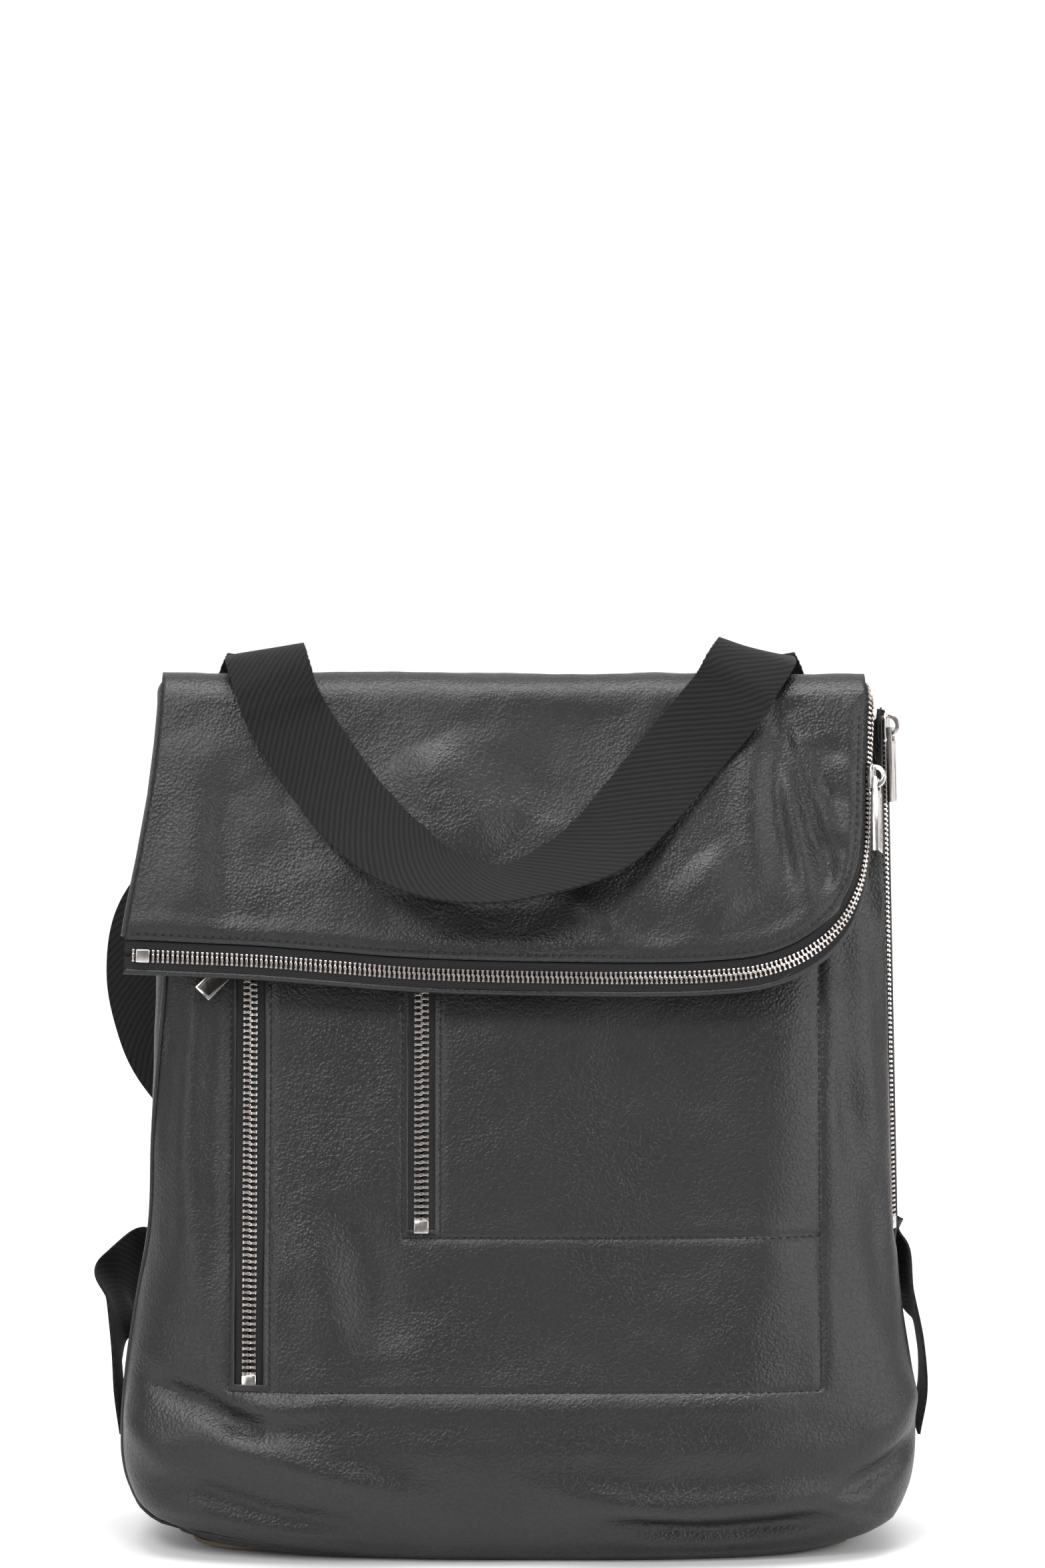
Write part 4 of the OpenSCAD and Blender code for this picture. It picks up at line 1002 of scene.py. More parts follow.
def stitch_template():
    """One stitch of thread whose ends dip into the leather."""
    verts, faces = [], []
    sides, stations = 6, ((-1.55, -0.3, 0.12), (-1.35, -0.02, 0.26), (-0.7, 0.14, 0.33), (0, 0.18, 0.34),
                          (0.7, 0.14, 0.33), (1.35, -0.02, 0.26), (1.55, -0.3, 0.12))
    for y, z, r in stations:
        for k in range(sides):
            a = 2 * math.pi * k / sides
            verts.append((r * math.cos(a), y, z + r * math.sin(a)))
    faces += ring_faces(len(stations), sides)
    faces.append(tuple(range(sides)))
    faces.append(tuple((len(stations) - 1) * sides + k for k in range(sides))[::-1])
    return make_object("stitch", face_outwards(mesh_of("stitch", verts, faces)))


def hole_template():
    """A low cone over a needle's hole; the sewing gives it a near-black finish as painted shade of the hole."""
    sides = 8
    rim = [(0.72 * math.cos(a), 0.85 * math.sin(a), 0.04) for a in np.linspace(0, 2 * math.pi, sides + 1)[:-1]]
    verts = [(0, 0, 0.12), *rim]
    faces = [(0, 1 + k, 1 + (k + 1) % sides) for k in range(sides)]
    return make_object("needle_hole", mesh_of("needle_hole", verts, faces))


STITCH_PIECE, HOLE_PIECE = stitch_template(), hole_template()
MAIN_TOOTH = tooth_template("main_tooth", 3.0, MAIN_PITCH)
POCKET_TOOTH = tooth_template("pocket_tooth", 3.5, POCKET_PITCH)


def teeth_rows(name, middle, across, up, pitch, tooth, apart=0.0):
    """Two interlocking rows of teeth along the middle of a chain, or two rows standing apart."""
    right = row_of(name + "_a", middle - across * apart, up, tooth, pitch, TEETH)
    flipped = middle[::-1] + across[::-1] * apart
    left = row_of(name + "_b", flipped, up[::-1], tooth, pitch, TEETH, skip=pitch / 2)
    return [right, left]


# ---------------------------------------------------------------- main zip round the flap and over the fold
FLAP_SLIDER_S = 36.0
slider_height = FLAP(173, -FLAP_SLIDER_S, STRIP_N) @ FLAP_UP
slider_i = int(np.argmin(np.abs(S_O[:FOLD_AT] @ FLAP_UP - slider_height) + (S_O[:FOLD_AT, 0] < 150) * 1e3))
MID = 7.5
TAPES = ((0.1, 6.6), (8.4, 14.9))
face = slice(0, FOLD_AT)
tape_between("flap_zip_tape_cloth", S_O[face], S_A[face], S_U[face], S_RUN[face], TAPES, "flap", ("flap_zip_tape",))
roll = slice(FOLD_AT - 1, len(S_O))
fold_tape = tape_between("fold_zip_tape_cloth", S_O[roll], S_A[roll], S_U[roll], S_RUN[roll], TAPES, None)
closed_run = slice(4, slider_i)
mid_line = strip_point(slice(None), MID, 0.0)
teeth = teeth_rows("flap_teeth", mid_line[closed_run], S_A[closed_run], S_U[closed_run], MAIN_PITCH, MAIN_TOOTH)
open_run = slice(slider_i, FOLD_AT)
part = np.linspace(0.4, 1.9, open_run.stop - open_run.start)[:, None]
teeth += teeth_rows("flap_open_teeth", mid_line[open_run], S_A[open_run] * part, S_U[open_run], MAIN_PITCH,
                    MAIN_TOOTH, apart=1.0)
join("flap_zip_teeth_rows", teeth, "flap", ("flap_zip_teeth",))
roll_teeth = teeth_rows("roll_teeth", mid_line[roll], S_A[roll], S_U[roll], MAIN_PITCH, MAIN_TOOTH, apart=1.9)
fold_zip = join("fold_zip_strip", [fold_tape, *roll_teeth], None, ("fold_zip",))
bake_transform(fold_zip)

# rolled hem below the zip, carried round the flap's edge as a binding
def tube(name, line, outwards, radius, material, body=None, flatten=0.75, sides=10, replaced=()):
    along = np.gradient(line, axis=0)
    along /= np.linalg.norm(along, axis=1, keepdims=True)
    side = np.cross(along, outwards)
    side /= np.linalg.norm(side, axis=1, keepdims=True)
    up = np.cross(side, along)
    radius = np.broadcast_to(radius, (len(line),))
    verts, faces = [], []
    for i in range(len(line)):
        for k in range(sides):
            a = 2 * math.pi * k / sides
            verts.append(line[i] + radius[i] * (side[i] * math.cos(a) + up[i] * flatten * math.sin(a)))
    faces += ring_faces(len(line), sides)
    faces.append(tuple(range(sides)))
    faces.append(tuple((len(line) - 1) * sides + k for k in range(sides)))
    made = make_object(name, face_outwards(mesh_of(name, verts, faces)), material)
    if body:
        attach(made, body)
    if replaced:
        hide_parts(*replaced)
    return made


hem_line = strip_point(slice(0, FOLD_AT), 15.6, -0.5)
tube("flap_hem_roll", hem_line[::2], S_U[:FOLD_AT:2], 1.5, LEATHER, "flap", replaced=("flap_hem",))


def inner_n(s):
    return 6.2 - np.asarray(s) * math.tan(math.radians(2.3))


inner_edge = []
for i in range(0, FOLD_AT, 3):
    x, s = strip_path[i] + outward[i] * 14.6
    pull = smooth_step((step[i, 1] - 0.15) / 0.75)
    inner_edge.append((x - 18.2 * pull, s))
inner_edge = np.array([p for p in inner_edge if p[1] < -14] + [(168.6, -10.0)])
inner_turn = int(np.argmin(np.hypot(inner_edge[:, 0] - 152, inner_edge[:, 1] + 118)))
CREASE_START, CREASE_TOP = 4.0, 8.0
INNER_SET = 1.2  # the inner leather lies this far below the cavity's own face
inner_left = through([(-178, CREASE_TOP), (-178, 0), (-181, -46), (-191, -104), (-194.0, inner_edge[0, 1])], 80)
inner_edge[0] = inner_left[-1]
inner_spot = patch(inner_edge[: inner_turn + 1], np.concatenate([[(168.6, CREASE_TOP)], inner_edge[inner_turn:][::-1]]),
                   np.array([(-178, CREASE_TOP), (168.6, CREASE_TOP)], float), inner_left, 60, 110)
ix, i_s = inner_spot[..., 0], inner_spot[..., 1]
inner_relief = 0.7 * ripple(ix, i_s, 50, 21)
face_s = np.minimum(i_s, -CREASE_START)
face_n = inner_n(face_s) - INNER_SET
grid = FLAP(ix, face_s, face_n + inner_relief * smooth_step((-i_s - 6) / 20))
crease = np.clip((i_s + CREASE_START) / (CREASE_TOP + CREASE_START), 0, 1)
top_point = FLAP(ix, -CREASE_START + 0 * ix, inner_n(-CREASE_START) - INNER_SET)
throat = np.stack([ix, np.full(ix.shape, 8.2), np.full(ix.shape, 415.0)], axis=-1)
turn_angle = crease * math.pi
middle = (top_point + throat) / 2
radius_v = (top_point - throat) / 2
lift_v = np.array([0, 0.0, 1.0]) * np.linalg.norm(radius_v, axis=-1, keepdims=True) * 1.15
arc = middle + radius_v * np.cos(turn_angle)[..., None] + lift_v * np.sin(turn_angle)[..., None]
grid = np.where((i_s > -CREASE_START)[..., None], arc, grid)
inner = sheet_piece("flap_inner_leather", grid, LEATHER, flip=False, thick=LEATHER_T, rim=EDGE)
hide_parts("flap_inner", "fold_crease")

# left wall of the flap, and the cloth inside it
wall_s = np.linspace(-118, 14, 34)
wall_x = np.array([np.interp(-s, [-p[1] for p in LEFT_LINE], [p[0] for p in LEFT_LINE]) for s in wall_s])
w = np.linspace(0, 1, 12)
low_n = np.maximum(inner_n(np.minimum(wall_s, 0)), 0) + 0.6
high_n = FOLD_R - LEATHER_T
grid = np.array([[flap_place(wall_x[i] + 0.8 - 2.2 * math.sin(math.pi * t), wall_s[i],
                             low_n[i] + (high_n - low_n[i]) * t) for t in w] for i in range(len(wall_s))])
wall = sheet_piece("flap_left_wall", grid, LEATHER, thick=1.2, flip=True)
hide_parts("flap_side_wall")
cloth = []
for k, level in enumerate((lambda s: inner_n(s) + 1.2, lambda s: 0 * s + FOLD_R - LEATHER_T - 6.5)):
    u, s = np.meshgrid(np.linspace(0, 1, 60), np.linspace(-110, -8, 24))
    # the cloth keeps clear of the flap's rounded corner
    cloth_right = np.interp(s, [-110, -100, -85, -60, -8], [118, 136, 147, 152, 153])
    u = -172 + (cloth_right + 172) * u
    grid = FLAP(u, s, level(s) + 0.3 * ripple(u, s, 30, 31 + k))
    cloth.append(sheet_piece(f"flap_cloth_{k}", grid, LINING, uv=np.stack([u, s], axis=-1), flip=bool(k), thick=0.5))
join("flap_lining_cloth", cloth, "flap", ("flap_lining",))

plain(flap_outer)
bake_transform(flap_outer)
plain(inner)
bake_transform(inner)
plain(wall)
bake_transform(wall)
for piece in (front, back, base):
    plain(piece)
    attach(piece, "bag")


# ---------------------------------------------------------------- webbing
def webbing(name, points, sides, width=WEB_W, step_mm=1.6, scallop=0.22, crown=0.5, sag=0.35, seed=1, cuts=()):
    """A woven band through points, its width along the matching directions.

    cuts gives (name, first point, last point) of each length that the band is cut into.
    """
    points, sides = np.array(points, float), np.array(sides, float)
    keys = np.arange(len(points))
    fine_t = np.linspace(0, len(points) - 1, 60 * len(points))
    fine = curve(list(zip(keys, points)), fine_t)
    run = np.concatenate([[0], np.cumsum(np.linalg.norm(np.diff(fine, axis=0), axis=1))])
    count = int(run[-1] / step_mm) + 1
    s = np.linspace(0, run[-1], count)
    t = np.interp(s, run, fine_t)
    mid, side = curve(list(zip(keys, points)), t), curve(list(zip(keys, sides)), t)
    along = np.gradient(mid, axis=0)
    along /= np.linalg.norm(along, axis=1, keepdims=True)
    side = side - along * np.sum(side * along, axis=1, keepdims=True)
    side /= np.linalg.norm(side, axis=1, keepdims=True)
    out = np.cross(along, side)
    half = width / 2
    upper = [(u, 1) for u in np.linspace(-1, 1, 13)]
    lower = [(u, -1) for u in np.linspace(1, -1, 13)]
    profile = [*upper, (1.012, 0.0), *lower, (-1.012, 0.0)]
    verts, uv = [], []
    wave = np.array([noise.noise(Vector((v / 26.0, seed * 3.7, 0))) for v in s])
    for i in range(count):
        for u, face_side in profile:
            edge = scallop * math.sin(2 * math.pi * s[i] / 2.1) if abs(u) > 0.97 else 0.0
            high = face_side * (WEB_T / 2 - 0.25 * abs(u) ** 6) + crown * (1 - u * u) + sag * wave[i] * u
            verts.append(mid[i] + side[i] * (u * half + edge * np.sign(u)) + out[i] * high)
            uv.append((u * half, s[i]))
    k = len(profile)
    made = []
    for cut_name, first, last in cuts or ((name, 0, len(points) - 1),):
        i0, i1 = (int(np.argmin(np.abs(t - v))) for v in (first, last))
        rows = i1 - i0 + 1
        faces = ring_faces(rows, k)
        faces.append(tuple(range(k)))
        faces.append(tuple((rows - 1) * k + j for j in range(k)))
        mesh = face_outwards(mesh_of(cut_name, verts[i0 * k:(i1 + 1) * k], faces, uv[i0 * k:(i1 + 1) * k]))
        mesh.set_sharp_from_angle(angle=math.radians(60))
        made.append(make_object(cut_name, mesh, WEBBING))
    return made if cuts else made[0]


HANDLE_RISE = 27.0
handle_n = FOLD_R + 0.5 + WEB_T / 2
loop = [(-121, 0, HANDLE_RISE), (-114, -13, handle_n + 2), (-100, -34, handle_n + 0.6), (-84, -56, handle_n + 3),
        (-64, -76, handle_n + 8), (-40, -90, handle_n + 12), (-10, -95, handle_n + 13), (22, -85, handle_n + 12),
        (42, -72, handle_n + 8), (58, -54, handle_n + 4), (83, -23, handle_n + 2), (103, 0, HANDLE_RISE)]
loop_sides = [(0.99, 0.1, 0), (0.93, 0.36, 0), (0.85, 0.52, 0), (0.76, 0.63, -0.1), (0.6, 0.66, -0.3), (0.3, 0.6, -0.5),
              (0, 0.5, -0.6), (-0.25, 0.55, -0.5), (-0.5, 0.6, -0.3), (-0.68, 0.66, -0.15), (-0.8, 0.6, 0),
              (-0.93, 0.36, 0)]
loop_world = [FLAP(*p) for p in loop]
loop_side_world = [FLAP(*p) - FOLD for p in loop_sides]

tail_z = FOLD_Z - 37
TILT = math.atan((63.98 - 31.0) / (FOLD_Z - 60))


def back_place(x, y, out):
    """A point on the back near the top: y up the back from the ends of the straps, out from the leather."""
    origin = np.array([0, float(linear(BACKS, tail_z)), tail_z])
    up = np.array([0, -math.sin(TILT), math.cos(TILT)])
    away = np.array([0, math.cos(TILT), math.sin(TILT)])
    return origin + x * ACROSS + y * up + out * away


def handle_end(x0, x1, x2, tilt0, tilt1):
    """Points and side directions of one end, from the flap's face back over the fold and under the yoke."""
    spots = [(31.0, 138, (x0 + x1) / 2), (FOLD_R + 12.4, 106, x1),
             (FOLD_R + 10.5, 62, x1), (FOLD_R + 5.5, 28, x2), (FOLD_R + 1.9, 3, x2)]
    points = [(x, FOLD_Y + r * math.cos(math.radians(a)), FOLD_Z + r * math.sin(math.radians(a))) for r, a, x in spots]
    points += [back_place(x2, 26, 1.5), back_place(x2, 14, 1.4), back_place(x2, 3, 1.4)]
    sides = [(1, 0, tilt0), (1, 0, tilt1)] + [(1, 0, 0)] * 6
    return [np.array(v, float) for v in points], [np.array(v, float) for v in sides]


left_points, left_sides = handle_end(-121, -129, -135, 0.36, 0.2)
right_points, right_sides = handle_end(103, 118.5, 125, -0.5, -0.3)
band = left_points[::-1] + loop_world + right_points
band_sides = left_sides[::-1] + loop_side_world + [-v for v in right_sides]
first, last = len(left_points), len(left_points) + len(loop) - 1
left_end, handle, right_end = webbing("handle", band, band_sides, step_mm=1.2, seed=2, cuts=(
    ("handle_end_left", 0, first), ("handle_webbing", first, last), ("handle_end_right", last, len(band) - 1)))
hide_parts("handle")
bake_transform(handle)
for end, side in ((left_end, "left"), (right_end, "right")):
    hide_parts(f"handle_bend_{side}", f"handle_tail_{side}")
    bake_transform(end)


def on_back(z):
    return float(linear(BACKS, z)) + 0.8 + WEB_T / 2


STRAP_BACK = 73.48
LEFT_OUT, RIGHT_OUT = 204.6, 203.2
y = STRAP_BACK
strap_left = webbing("strap_left_webbing", [
    (-54, on_back(402), 402), (-60, on_back(392), 392), (-68, on_back(380), 380), (-76, on_back(370) + 0.8, 370),
    (-94, 47, 360), (-131, 60, 352), (-169, y - 5, 335), (-192, y - 1, 310), (-197, y, 282), (-191, y + 0.3, 250),
    (-178, y + 0.2, 228), (-164, y - 0.5, 214), (-161, y - 1.25, 182), (-158, y - 2, 150),
    (-161, y - 3, 143), (-178, y - 8, 139), (-196, 56, 133), (-209, 34, 124), (-209, 13, 110),
    (-208, 2, 94), (-207, 0, 76), (-LEFT_OUT, 0, 56)], [
    (0.86, 0.05, -0.51), (0.84, 0.05, -0.54), (0.81, 0.05, -0.58), (0.75, 0.06, -0.66), (0.5, 0.1, -0.85),
    (0.42, 0.1, -0.9), (0.72, 0, -0.69), (0.96, 0, -0.25), (1, 0, 0.08), (0.96, 0, 0.26),
    (0.93, 0, 0.33), (0.995, 0, 0.1), (0.995, 0, 0.1), (0.995, 0, 0.1),
    (0.98, 0.1, 0.1), (0.9, 0.4, 0.1), (0.66, 0.75, 0.1), (0.35, 0.93, 0.1), (0.1, 0.99, 0), (0, 1, 0), (0, 1, 0),
    (0, 1, 0)], step_mm=2.0, seed=5)
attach(strap_left, "bag")
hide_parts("strap_left")
strap_right = webbing("strap_right_webbing", [
    (54, on_back(402), 402), (60, on_back(392), 392), (67, on_back(380), 380), (74, on_back(370) + 0.8, 370),
    (84, 46, 360), (106, 58, 344), (136, y - 6, 320), (153, y - 2, 294), (160, y, 268), (162, y + 0.3, 246),
    (162, y, 236), (162, y - 1, 201), (162, y - 2, 166), (162, y - 2.3, 156),
    (170, y - 9, 148), (184, 48, 142), (196, 25, 135), (201, 7, 120), (205, 0, 100), (206.5, 0, 78),
    (RIGHT_OUT, 0, 56)], [
    (-0.86, 0.05, -0.51), (-0.84, 0.05, -0.54), (-0.82, 0.05, -0.57), (-0.8, 0.06, -0.6), (-0.72, 0.1, -0.69),
    (-0.66, 0.1, -0.75), (-0.8, 0, -0.6), (-0.92, 0, -0.35), (-1, 0, -0.1), (-1, 0, 0),
    (-1, 0, 0), (-1, 0, 0), (-1, 0, 0), (-1, 0, 0),
    (-0.93, 0.3, 0), (-0.7, 0.7, 0), (-0.3, 0.95, 0), (-0.05, 1, 0), (0, 1, 0), (0, 1, 0),
    (0, 1, 0)], step_mm=2.0, seed=6)
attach(strap_right, "bag")
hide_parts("strap_right")

# ---------------------------------------------------------------- pocket zips and side zip
def straight(place, ys):
    """Middle points, across and outward directions of a straight zip at the given heights."""
    return place(0 * ys, ys, TAPE_T), np.tile(place.m[0], (len(ys), 1)), np.tile(place.m[2], (len(ys), 1))


for name, place, run in (("long", LONG, LONG_RUN), ("short", SHORT, SHORT_RUN)):
    ys = np.linspace(-6, run + 3, 150)
    tape_between(f"{name}_zip_tape_cloth", *straight(place, ys), ys, ((-7.2, -0.6), (0.6, 7.2)), "bag",
                 (f"{name}_zip_tape",))
    rows = teeth_rows(f"{name}_teeth", *straight(place, np.arange(2.5, run - 12, 1.0)), POCKET_PITCH, POCKET_TOOTH)
    join(f"{name}_zip_teeth_rows", rows, "bag", (f"{name}_zip_teeth",))

ys = np.linspace(0, SIDE_RUN - 1, 220)
tape_between("side_zip_tape_cloth", *straight(SIDE, ys), ys, ((-7.4, -0.9), (0.9, 7.4)), "bag", ("side_zip_tape",))
side_chain = SIDE_RUN - 9.5
closed, opened = np.arange(8.0, side_chain, 1.0), np.arange(side_chain + 4, SIDE_RUN, 0.8)
rows = teeth_rows("side_teeth", *straight(SIDE, closed), MAIN_PITCH, MAIN_TOOTH)
rows += teeth_rows("side_open_teeth", *straight(SIDE, opened), MAIN_PITCH, MAIN_TOOTH, apart=1.4)
join("side_zip_teeth_rows", rows, "bag", ("side_zip_teeth",))


# ---------------------------------------------------------------- hardware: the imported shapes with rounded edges
def softened(node_name, body, material, width=0.3, segments=2):
    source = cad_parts[node_name]
    mesh = source.data.copy()
    mesh.materials.clear()
    mesh.materials.append(material)
    bm = bmesh.new()
    bm.from_mesh(mesh)
    bmesh.ops.remove_doubles(bm, verts=bm.verts, dist=1e-6)
    bmesh.ops.dissolve_limit(bm, angle_limit=math.radians(1.5), verts=bm.verts, edges=bm.edges)
    bm.to_mesh(mesh)
    bm.free()
    made = bpy.data.objects.new(node_name + "_metal", mesh)
    bpy.context.scene.collection.objects.link(made)
    edge = made.modifiers.new("edges", "BEVEL")
    edge.width, edge.segments = width * MM, segments
    edge.limit_method, edge.angle_limit = "ANGLE", math.radians(32)
    edge.use_clamp_overlap = True
    plain(made)
    for p in made.data.polygons:
        p.use_smooth = True
    made.data.set_sharp_from_angle(angle=math.radians(38))
    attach(made, body)
    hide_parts(node_name)
    return made


for key in ("flap", "side", "long", "short"):
    softened(key + "_slider", key + "_slider", NICKEL, 0.28)
    softened(key + "_puller", key + "_puller", NICKEL, 0.3)
for key in ("left", "right"):
    softened("adjuster_" + key, "adjuster_" + key, NICKEL, 0.7, 3)
for key in ("side", "long", "short"):
    softened(key + "_zip_stop", "bag", NICKEL, 0.35)

# end block at the flap's left end
def end_block(name, at, along, across, up, wide, body, replaced):
    made = block(name, wide, 6.8, 3.4, 0.6, segments=3)
    turn = Matrix([[across[k], along[k], up[k]] for k in range(3)]).to_4x4()
    made.data.transform(Matrix.Translation(Vector(at * MM)) @ turn)
    made.data.materials.append(NICKEL)
    for p in made.data.polygons:
        p.use_smooth = True
    made.data.set_sharp_from_angle(angle=math.radians(40))
    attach(made, body)
    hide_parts(replaced)
    return made


end_i = int(np.argmin(np.abs(S_O[:FOLD_AT, 0] + 188)))
end_block("flap_end_block", strip_point(end_i, MID, 0.5), S_T[end_i], S_A[end_i], S_U[end_i], 6.6, "flap",
          "flap_zip_stop")

# ---------------------------------------------------------------- seam roll, yoke, lining, pockets, board
zs = np.linspace(4, 416, 150)
half, mid, deep, square = section(zs, False)
inset = seam_inset(zs)
xs = half - inset
seam_y = mid - deep * (1 - (xs / half) ** square) ** (1 / square)
out_dir = np.stack([-np.ones(150), -0.35 * np.ones(150), np.zeros(150)], axis=1)
line = np.stack([-xs, seam_y, zs + bottom_lift(-xs, zs)], axis=1)
tube("left_seam_roll", line, out_dir, 1.5, LEATHER, "bag", flatten=0.8, replaced=("left_seam_binding",))

u, v = np.meshgrid(np.linspace(-157, 157, 120), np.linspace(0.5, 28.5, 14))
rise = 3.7 + 0.4 * ripple(u, v, 24, 41)
for x in (-135, 125):
    rise += 0.7 * np.exp(-(np.abs(u - x) / 21) ** 6)
sewn_dip = 0.5 * np.exp(-((np.minimum(v, 29 - v) - 3) / 1.2) ** 2)
to_edge = np.minimum(np.minimum(v - 0.5, 28.5 - v), 157 - np.abs(u))
rise -= sewn_dip + 0.9 * np.exp(-((to_edge / 1.4) ** 2))
yoke_grid = np.array([[back_place(u[i, j], v[i, j], rise[i, j]) for j in range(120)] for i in range(14)])
yoke = sheet_piece("back_yoke_leather", yoke_grid, LEATHER, flip=True, thick=1.8, rim=EDGE)
plain(yoke)
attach(yoke, "bag")
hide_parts("back_yoke")

turns = np.linspace(0, 2 * math.pi, 97)
levels = [(5.4, 13.5)] + [(z, 10.2) for z in np.linspace(8, 411, 46)]
rings = []
for z, inset in levels:
    half = linear(CAD_HALF, z)
    lo, hi = linear(FRONTS, z), linear(BACKS, z)
    sq = linear([(0, 4), (200, 4), (422, 5)], z)
    ring = []
    for a in turns:
        c, s = math.cos(a), math.sin(a)
        ring.append(((half - inset) * np.sign(c) * abs(c) ** (2 / sq),
                     (lo + hi) / 2 + ((hi - lo) / 2 - inset) * np.sign(s) * abs(s) ** (2 / sq), z))
    rings.append(ring)
grid = np.array(rings)
uv = np.stack(np.broadcast_arrays(turns[None, :] * 150, grid[..., 2]), axis=-1)
sag = 0.9 * ripple(np.sin(turns)[None, :] * 90 + 0 * grid[..., 2], grid[..., 2], 45, 51)
grid = set_in(grid, -np.abs(sag))
lining = sheet_piece("lining_cloth", grid, LINING, uv=uv, thick=0.6)
floor_grid = np.array([[(p[0] * f, p[1] * f, 5.3) for p in rings[0]] for f in np.linspace(0.02, 1, 8)])
lining_floor = sheet_piece("lining_floor", floor_grid, LINING, uv=floor_grid[..., :2], thick=0.5)
join("lining_bag", [lining, lining_floor], "bag", ("lining",))


def pocket_cloth(name, left, right, low, depth, seed, replaced):
    u, z = np.meshgrid(np.linspace(left, right, 60), np.linspace(low, POCKET_TOP, 50))
    y = cad_front(u, z) + LEATHER_T + depth + 0.3 * ripple(u, z, 34, seed)
    grid = np.stack([u, y, z], axis=-1)
    made = sheet_piece(name, grid, LINING, uv=np.stack([u, z], axis=-1), thick=0.5)
    plain(made)
    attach(made, "bag")
    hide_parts(replaced)


pocket_cloth("long_pocket_cloth", LONG_X - WINDOW, 100, LONG_Z - 6, 4.2, 61, "long_pocket_bag")
pocket_cloth("short_pocket_cloth", SHORT_X - WINDOW, 120, SHORT_Z - 6, 2.0, 62, "short_pocket_bag")
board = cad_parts["base_board"]
board.data.materials.clear()
board.data.materials.append(BOARD)


# ---------------------------------------------------------------- sewing
def tree_of(*objects):
    verts, polys = [], []
    for o in objects:
        start = len(verts)
        verts += [o.matrix_world @ v.co for v in o.data.vertices]
        polys += [tuple(start + i for i in p.vertices) for p in o.data.polygons]
    return BVHTree.FromPolygons(verts, polys)


def laid(tree, points, direction):
    """Points dropped onto leather along a direction, with the leather's own normal."""
    out, normals = [], []
    direction = Vector(direction).normalized()
    for p in points:
        origin = Vector(p) * MM - direction * 0.03
        hit, normal, _, _ = tree.ray_cast(origin, direction, 0.25)
        if hit is None:
            continue
        if normal.dot(direction) > 0:
            normal = -normal
        out.append(np.array(hit) / MM)
        normals.append(np.array(normal))
    return np.array(out), np.array(normals)


def sew(name, lines, body, pitch=STITCH):
    """Thread, and near-black cones as painted shade of the needle holes, along lines of (points, outward directions).
    """
    rows = []
    for k, (pts, outs) in enumerate(lines):
        kernel = np.ones(5) / 5
        padded = np.pad(outs, ((2, 2), (0, 0)), mode="edge")
        outs = np.stack([np.convolve(padded[:, c], kernel, mode="valid") for c in range(3)], axis=1)
        rows.append(row_of(f"{name}_thread_{k}", pts, outs, STITCH_PIECE, pitch, THREAD))
        rows.append(row_of(f"{name}_hole_{k}", pts, outs, HOLE_PIECE, pitch, HOLE_SHADE, skip=pitch / 2))
    return join(name, rows, body)


AHEAD_Y = -90.0  # sewing is dropped onto the front leather from here


def upright(x, low, high=331):
    zs = np.arange(low, high, 2.0)
    return np.stack([np.full(len(zs), x), np.full(len(zs), AHEAD_Y), zs], axis=1)


def level(z, left, right):
    xs = np.arange(left, right, 2.0)
    return np.stack([xs, np.full(len(xs), AHEAD_Y), np.full(len(xs), z)], axis=1)


front_tree = tree_of(front)
lines = []
for u in SEWN_UPRIGHT:
    low = SEWN_MIDDLE if abs(u - SHORT_X) < 12 else SEWN_LOW
    lines.append(laid(front_tree, upright(u, low + 1), (0, 1, 0)))
lines.append(laid(front_tree, level(SEWN_LOW, LONG_X - 10, 150), (0, 1, 0)))
lines.append(laid(front_tree, level(SEWN_MIDDLE, SHORT_X - 9.3, 150), (0, 1, 0)))
sew("front_sewing", lines, "bag")

flap_tree = tree_of(flap_outer)
inset_line = strip_path - outward * 3.0
pts = FLAP(inset_line[:, 0], inset_line[:, 1], FOLD_R + 2)
lines = [laid(flap_tree, pts[4:-6], -FLAP_OUT)]
sew("flap_sewing", lines, "flap")

yoke_tree = tree_of(yoke)
lines = []
away = np.array([0, -math.cos(TILT), -math.sin(TILT)])
for v in (3.5, 25.5):
    pts = np.array([back_place(x, v, 6) for x in np.arange(-153, 153, 2.0)])
    lines.append(laid(yoke_tree, pts, away))
for x in (-153.5, 153.5):
    pts = np.array([back_place(x, v, 6) for v in np.arange(3.5, 25.5, 2.0)])
    lines.append(laid(yoke_tree, pts, away))
sew("yoke_sewing", lines, "bag")

zs = np.arange(162, 412, 2.0)
lines = []
for front_side in (True, False):
    rail = right_rail(zs, front_side)
    target = tree_of(front if front_side else back)
    shift = np.array([-2.6 * 0.9, -2.6 * 0.5 if front_side else 2.6, 0])
    direction = np.array([-0.8, 0.6 if front_side else -0.6, 0])
    lines.append(laid(target, rail + shift, direction))
sew("side_zip_sewing", lines, "bag")
for o in (STITCH_PIECE, HOLE_PIECE, MAIN_TOOTH, POCKET_TOOTH):
    bpy.data.objects.remove(o)

# ---------------------------------------------------------------- setting: floor, light, camera
floor_material, nodes, links, base_shader = shader("pale_floor", (0.86, 0.86, 0.87), 0.55)
floor_noise = node(nodes, "ShaderNodeTexNoise", Scale=3.0, Detail=3.0)
links.new(node(nodes, "ShaderNodeTexCoord").outputs["Object"], floor_noise.inputs["Vector"])
floor_tone = two_tones(nodes, links, floor_noise.outputs["Fac"], (0.85, 0.85, 0.86), (0.88, 0.88, 0.885))
links.new(floor_tone, base_shader.inputs["Base Color"])
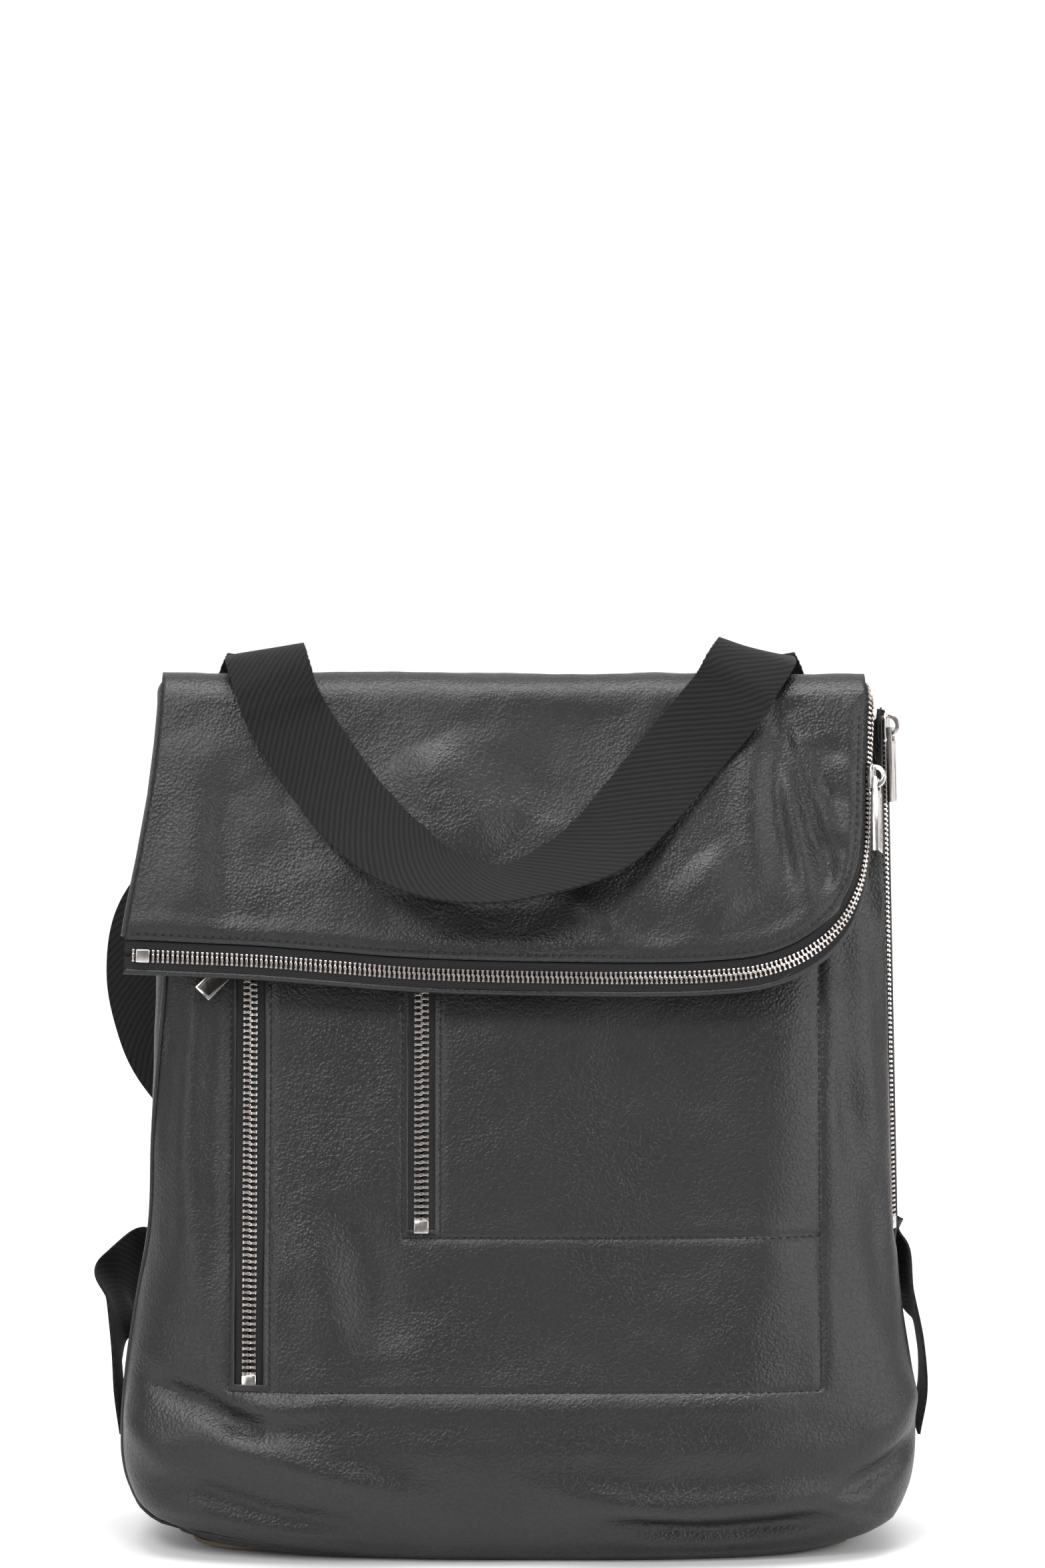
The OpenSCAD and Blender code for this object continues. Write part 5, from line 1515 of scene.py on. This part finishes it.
# painted light: the floor glows, more the farther it lies behind the bag, so that it fades into the white background
far = node(nodes, "ShaderNodeSeparateXYZ")
links.new(node(nodes, "ShaderNodeTexCoord").outputs["Object"], far.inputs[0])
base_shader.inputs["Emission Color"].default_value = (1, 1, 1, 1)
links.new(ramp(nodes, links, far.outputs["Y"], 0.2, 2.2, 0.0, 0.42), base_shader.inputs["Emission Strength"])
floor_corners = [(-9000, -6000, 0), (9000, -6000, 0), (9000, 9000, 0), (-9000, 9000, 0)]
floor_mesh = mesh_of("floor", floor_corners, [(0, 1, 2, 3)], smooth=False)
floor = make_object("floor", floor_mesh, floor_material)

world = bpy.data.worlds.new("studio")
bpy.context.scene.world = world
world.use_nodes = True
background = world.node_tree.nodes["Background"]
background.inputs["Color"].default_value = (1.0, 1.0, 1.0, 1)
# white behind and at the sides, dimmer in front so that the leather keeps its depth
nodes, links = world.node_tree.nodes, world.node_tree.links
heading = node(nodes, "ShaderNodeSeparateXYZ")
links.new(node(nodes, "ShaderNodeTexCoord").outputs["Generated"], heading.inputs[0])
links.new(ramp(nodes, links, heading.outputs["Y"], -0.8, 0.1, 0.26, 1.06), background.inputs["Strength"])


def softbox(name, at, aim, size, power):
    light = bpy.data.lights.new(name, "AREA")
    light.shape, light.size, light.size_y = "RECTANGLE", size[0], size[1]
    light.energy = power
    made = bpy.data.objects.new(name, light)
    made.location = at
    made.rotation_euler = (Vector(aim) - Vector(at)).to_track_quat("-Z", "Y").to_euler()
    bpy.context.scene.collection.objects.link(made)


softbox("key", (-0.75, -1.7, 1.9), (0, 0, 0.24), (0.8, 0.7), 24)
softbox("fill", (1.35, -1.75, 0.9), (0.08, 0, 0.22), (0.45, 1.0), 13)
softbox("left_edge", (-1.55, -1.85, 0.8), (-0.05, 0, 0.2), (0.4, 1.1), 10)
softbox("right_edge", (1.9, -0.9, 0.8), (0.1, 0, 0.2), (0.5, 1.1), 12)
softbox("top", (0.1, -0.35, 2.2), (0, 0, 0.3), (1.6, 1.0), 44)

camera_data = bpy.data.cameras.new("camera")
camera = bpy.data.objects.new("camera", camera_data)
bpy.context.scene.collection.objects.link(camera)
DISTANCE, RISE = 2.25, math.radians(8.5)
VIEW_HEIGHT = 0.792  # metres seen from bottom to top at the bag
aim = Vector((0.0, -0.02, 0.22))
camera.location = aim + Vector((0, -math.cos(RISE), math.sin(RISE))) * DISTANCE
camera.rotation_euler = (aim - camera.location).to_track_quat("-Z", "Y").to_euler()
camera_data.sensor_fit = "VERTICAL"
camera_data.sensor_height = 36
camera_data.lens = camera_data.sensor_height * DISTANCE / VIEW_HEIGHT
camera_data.shift_y = 0.212
camera_data.shift_x = 0.0008
camera_data.clip_start, camera_data.clip_end = 0.05, 60
bpy.context.scene.camera = camera
bpy.context.scene.view_settings.view_transform = "Standard"
bpy.context.scene.view_settings.look = "None"
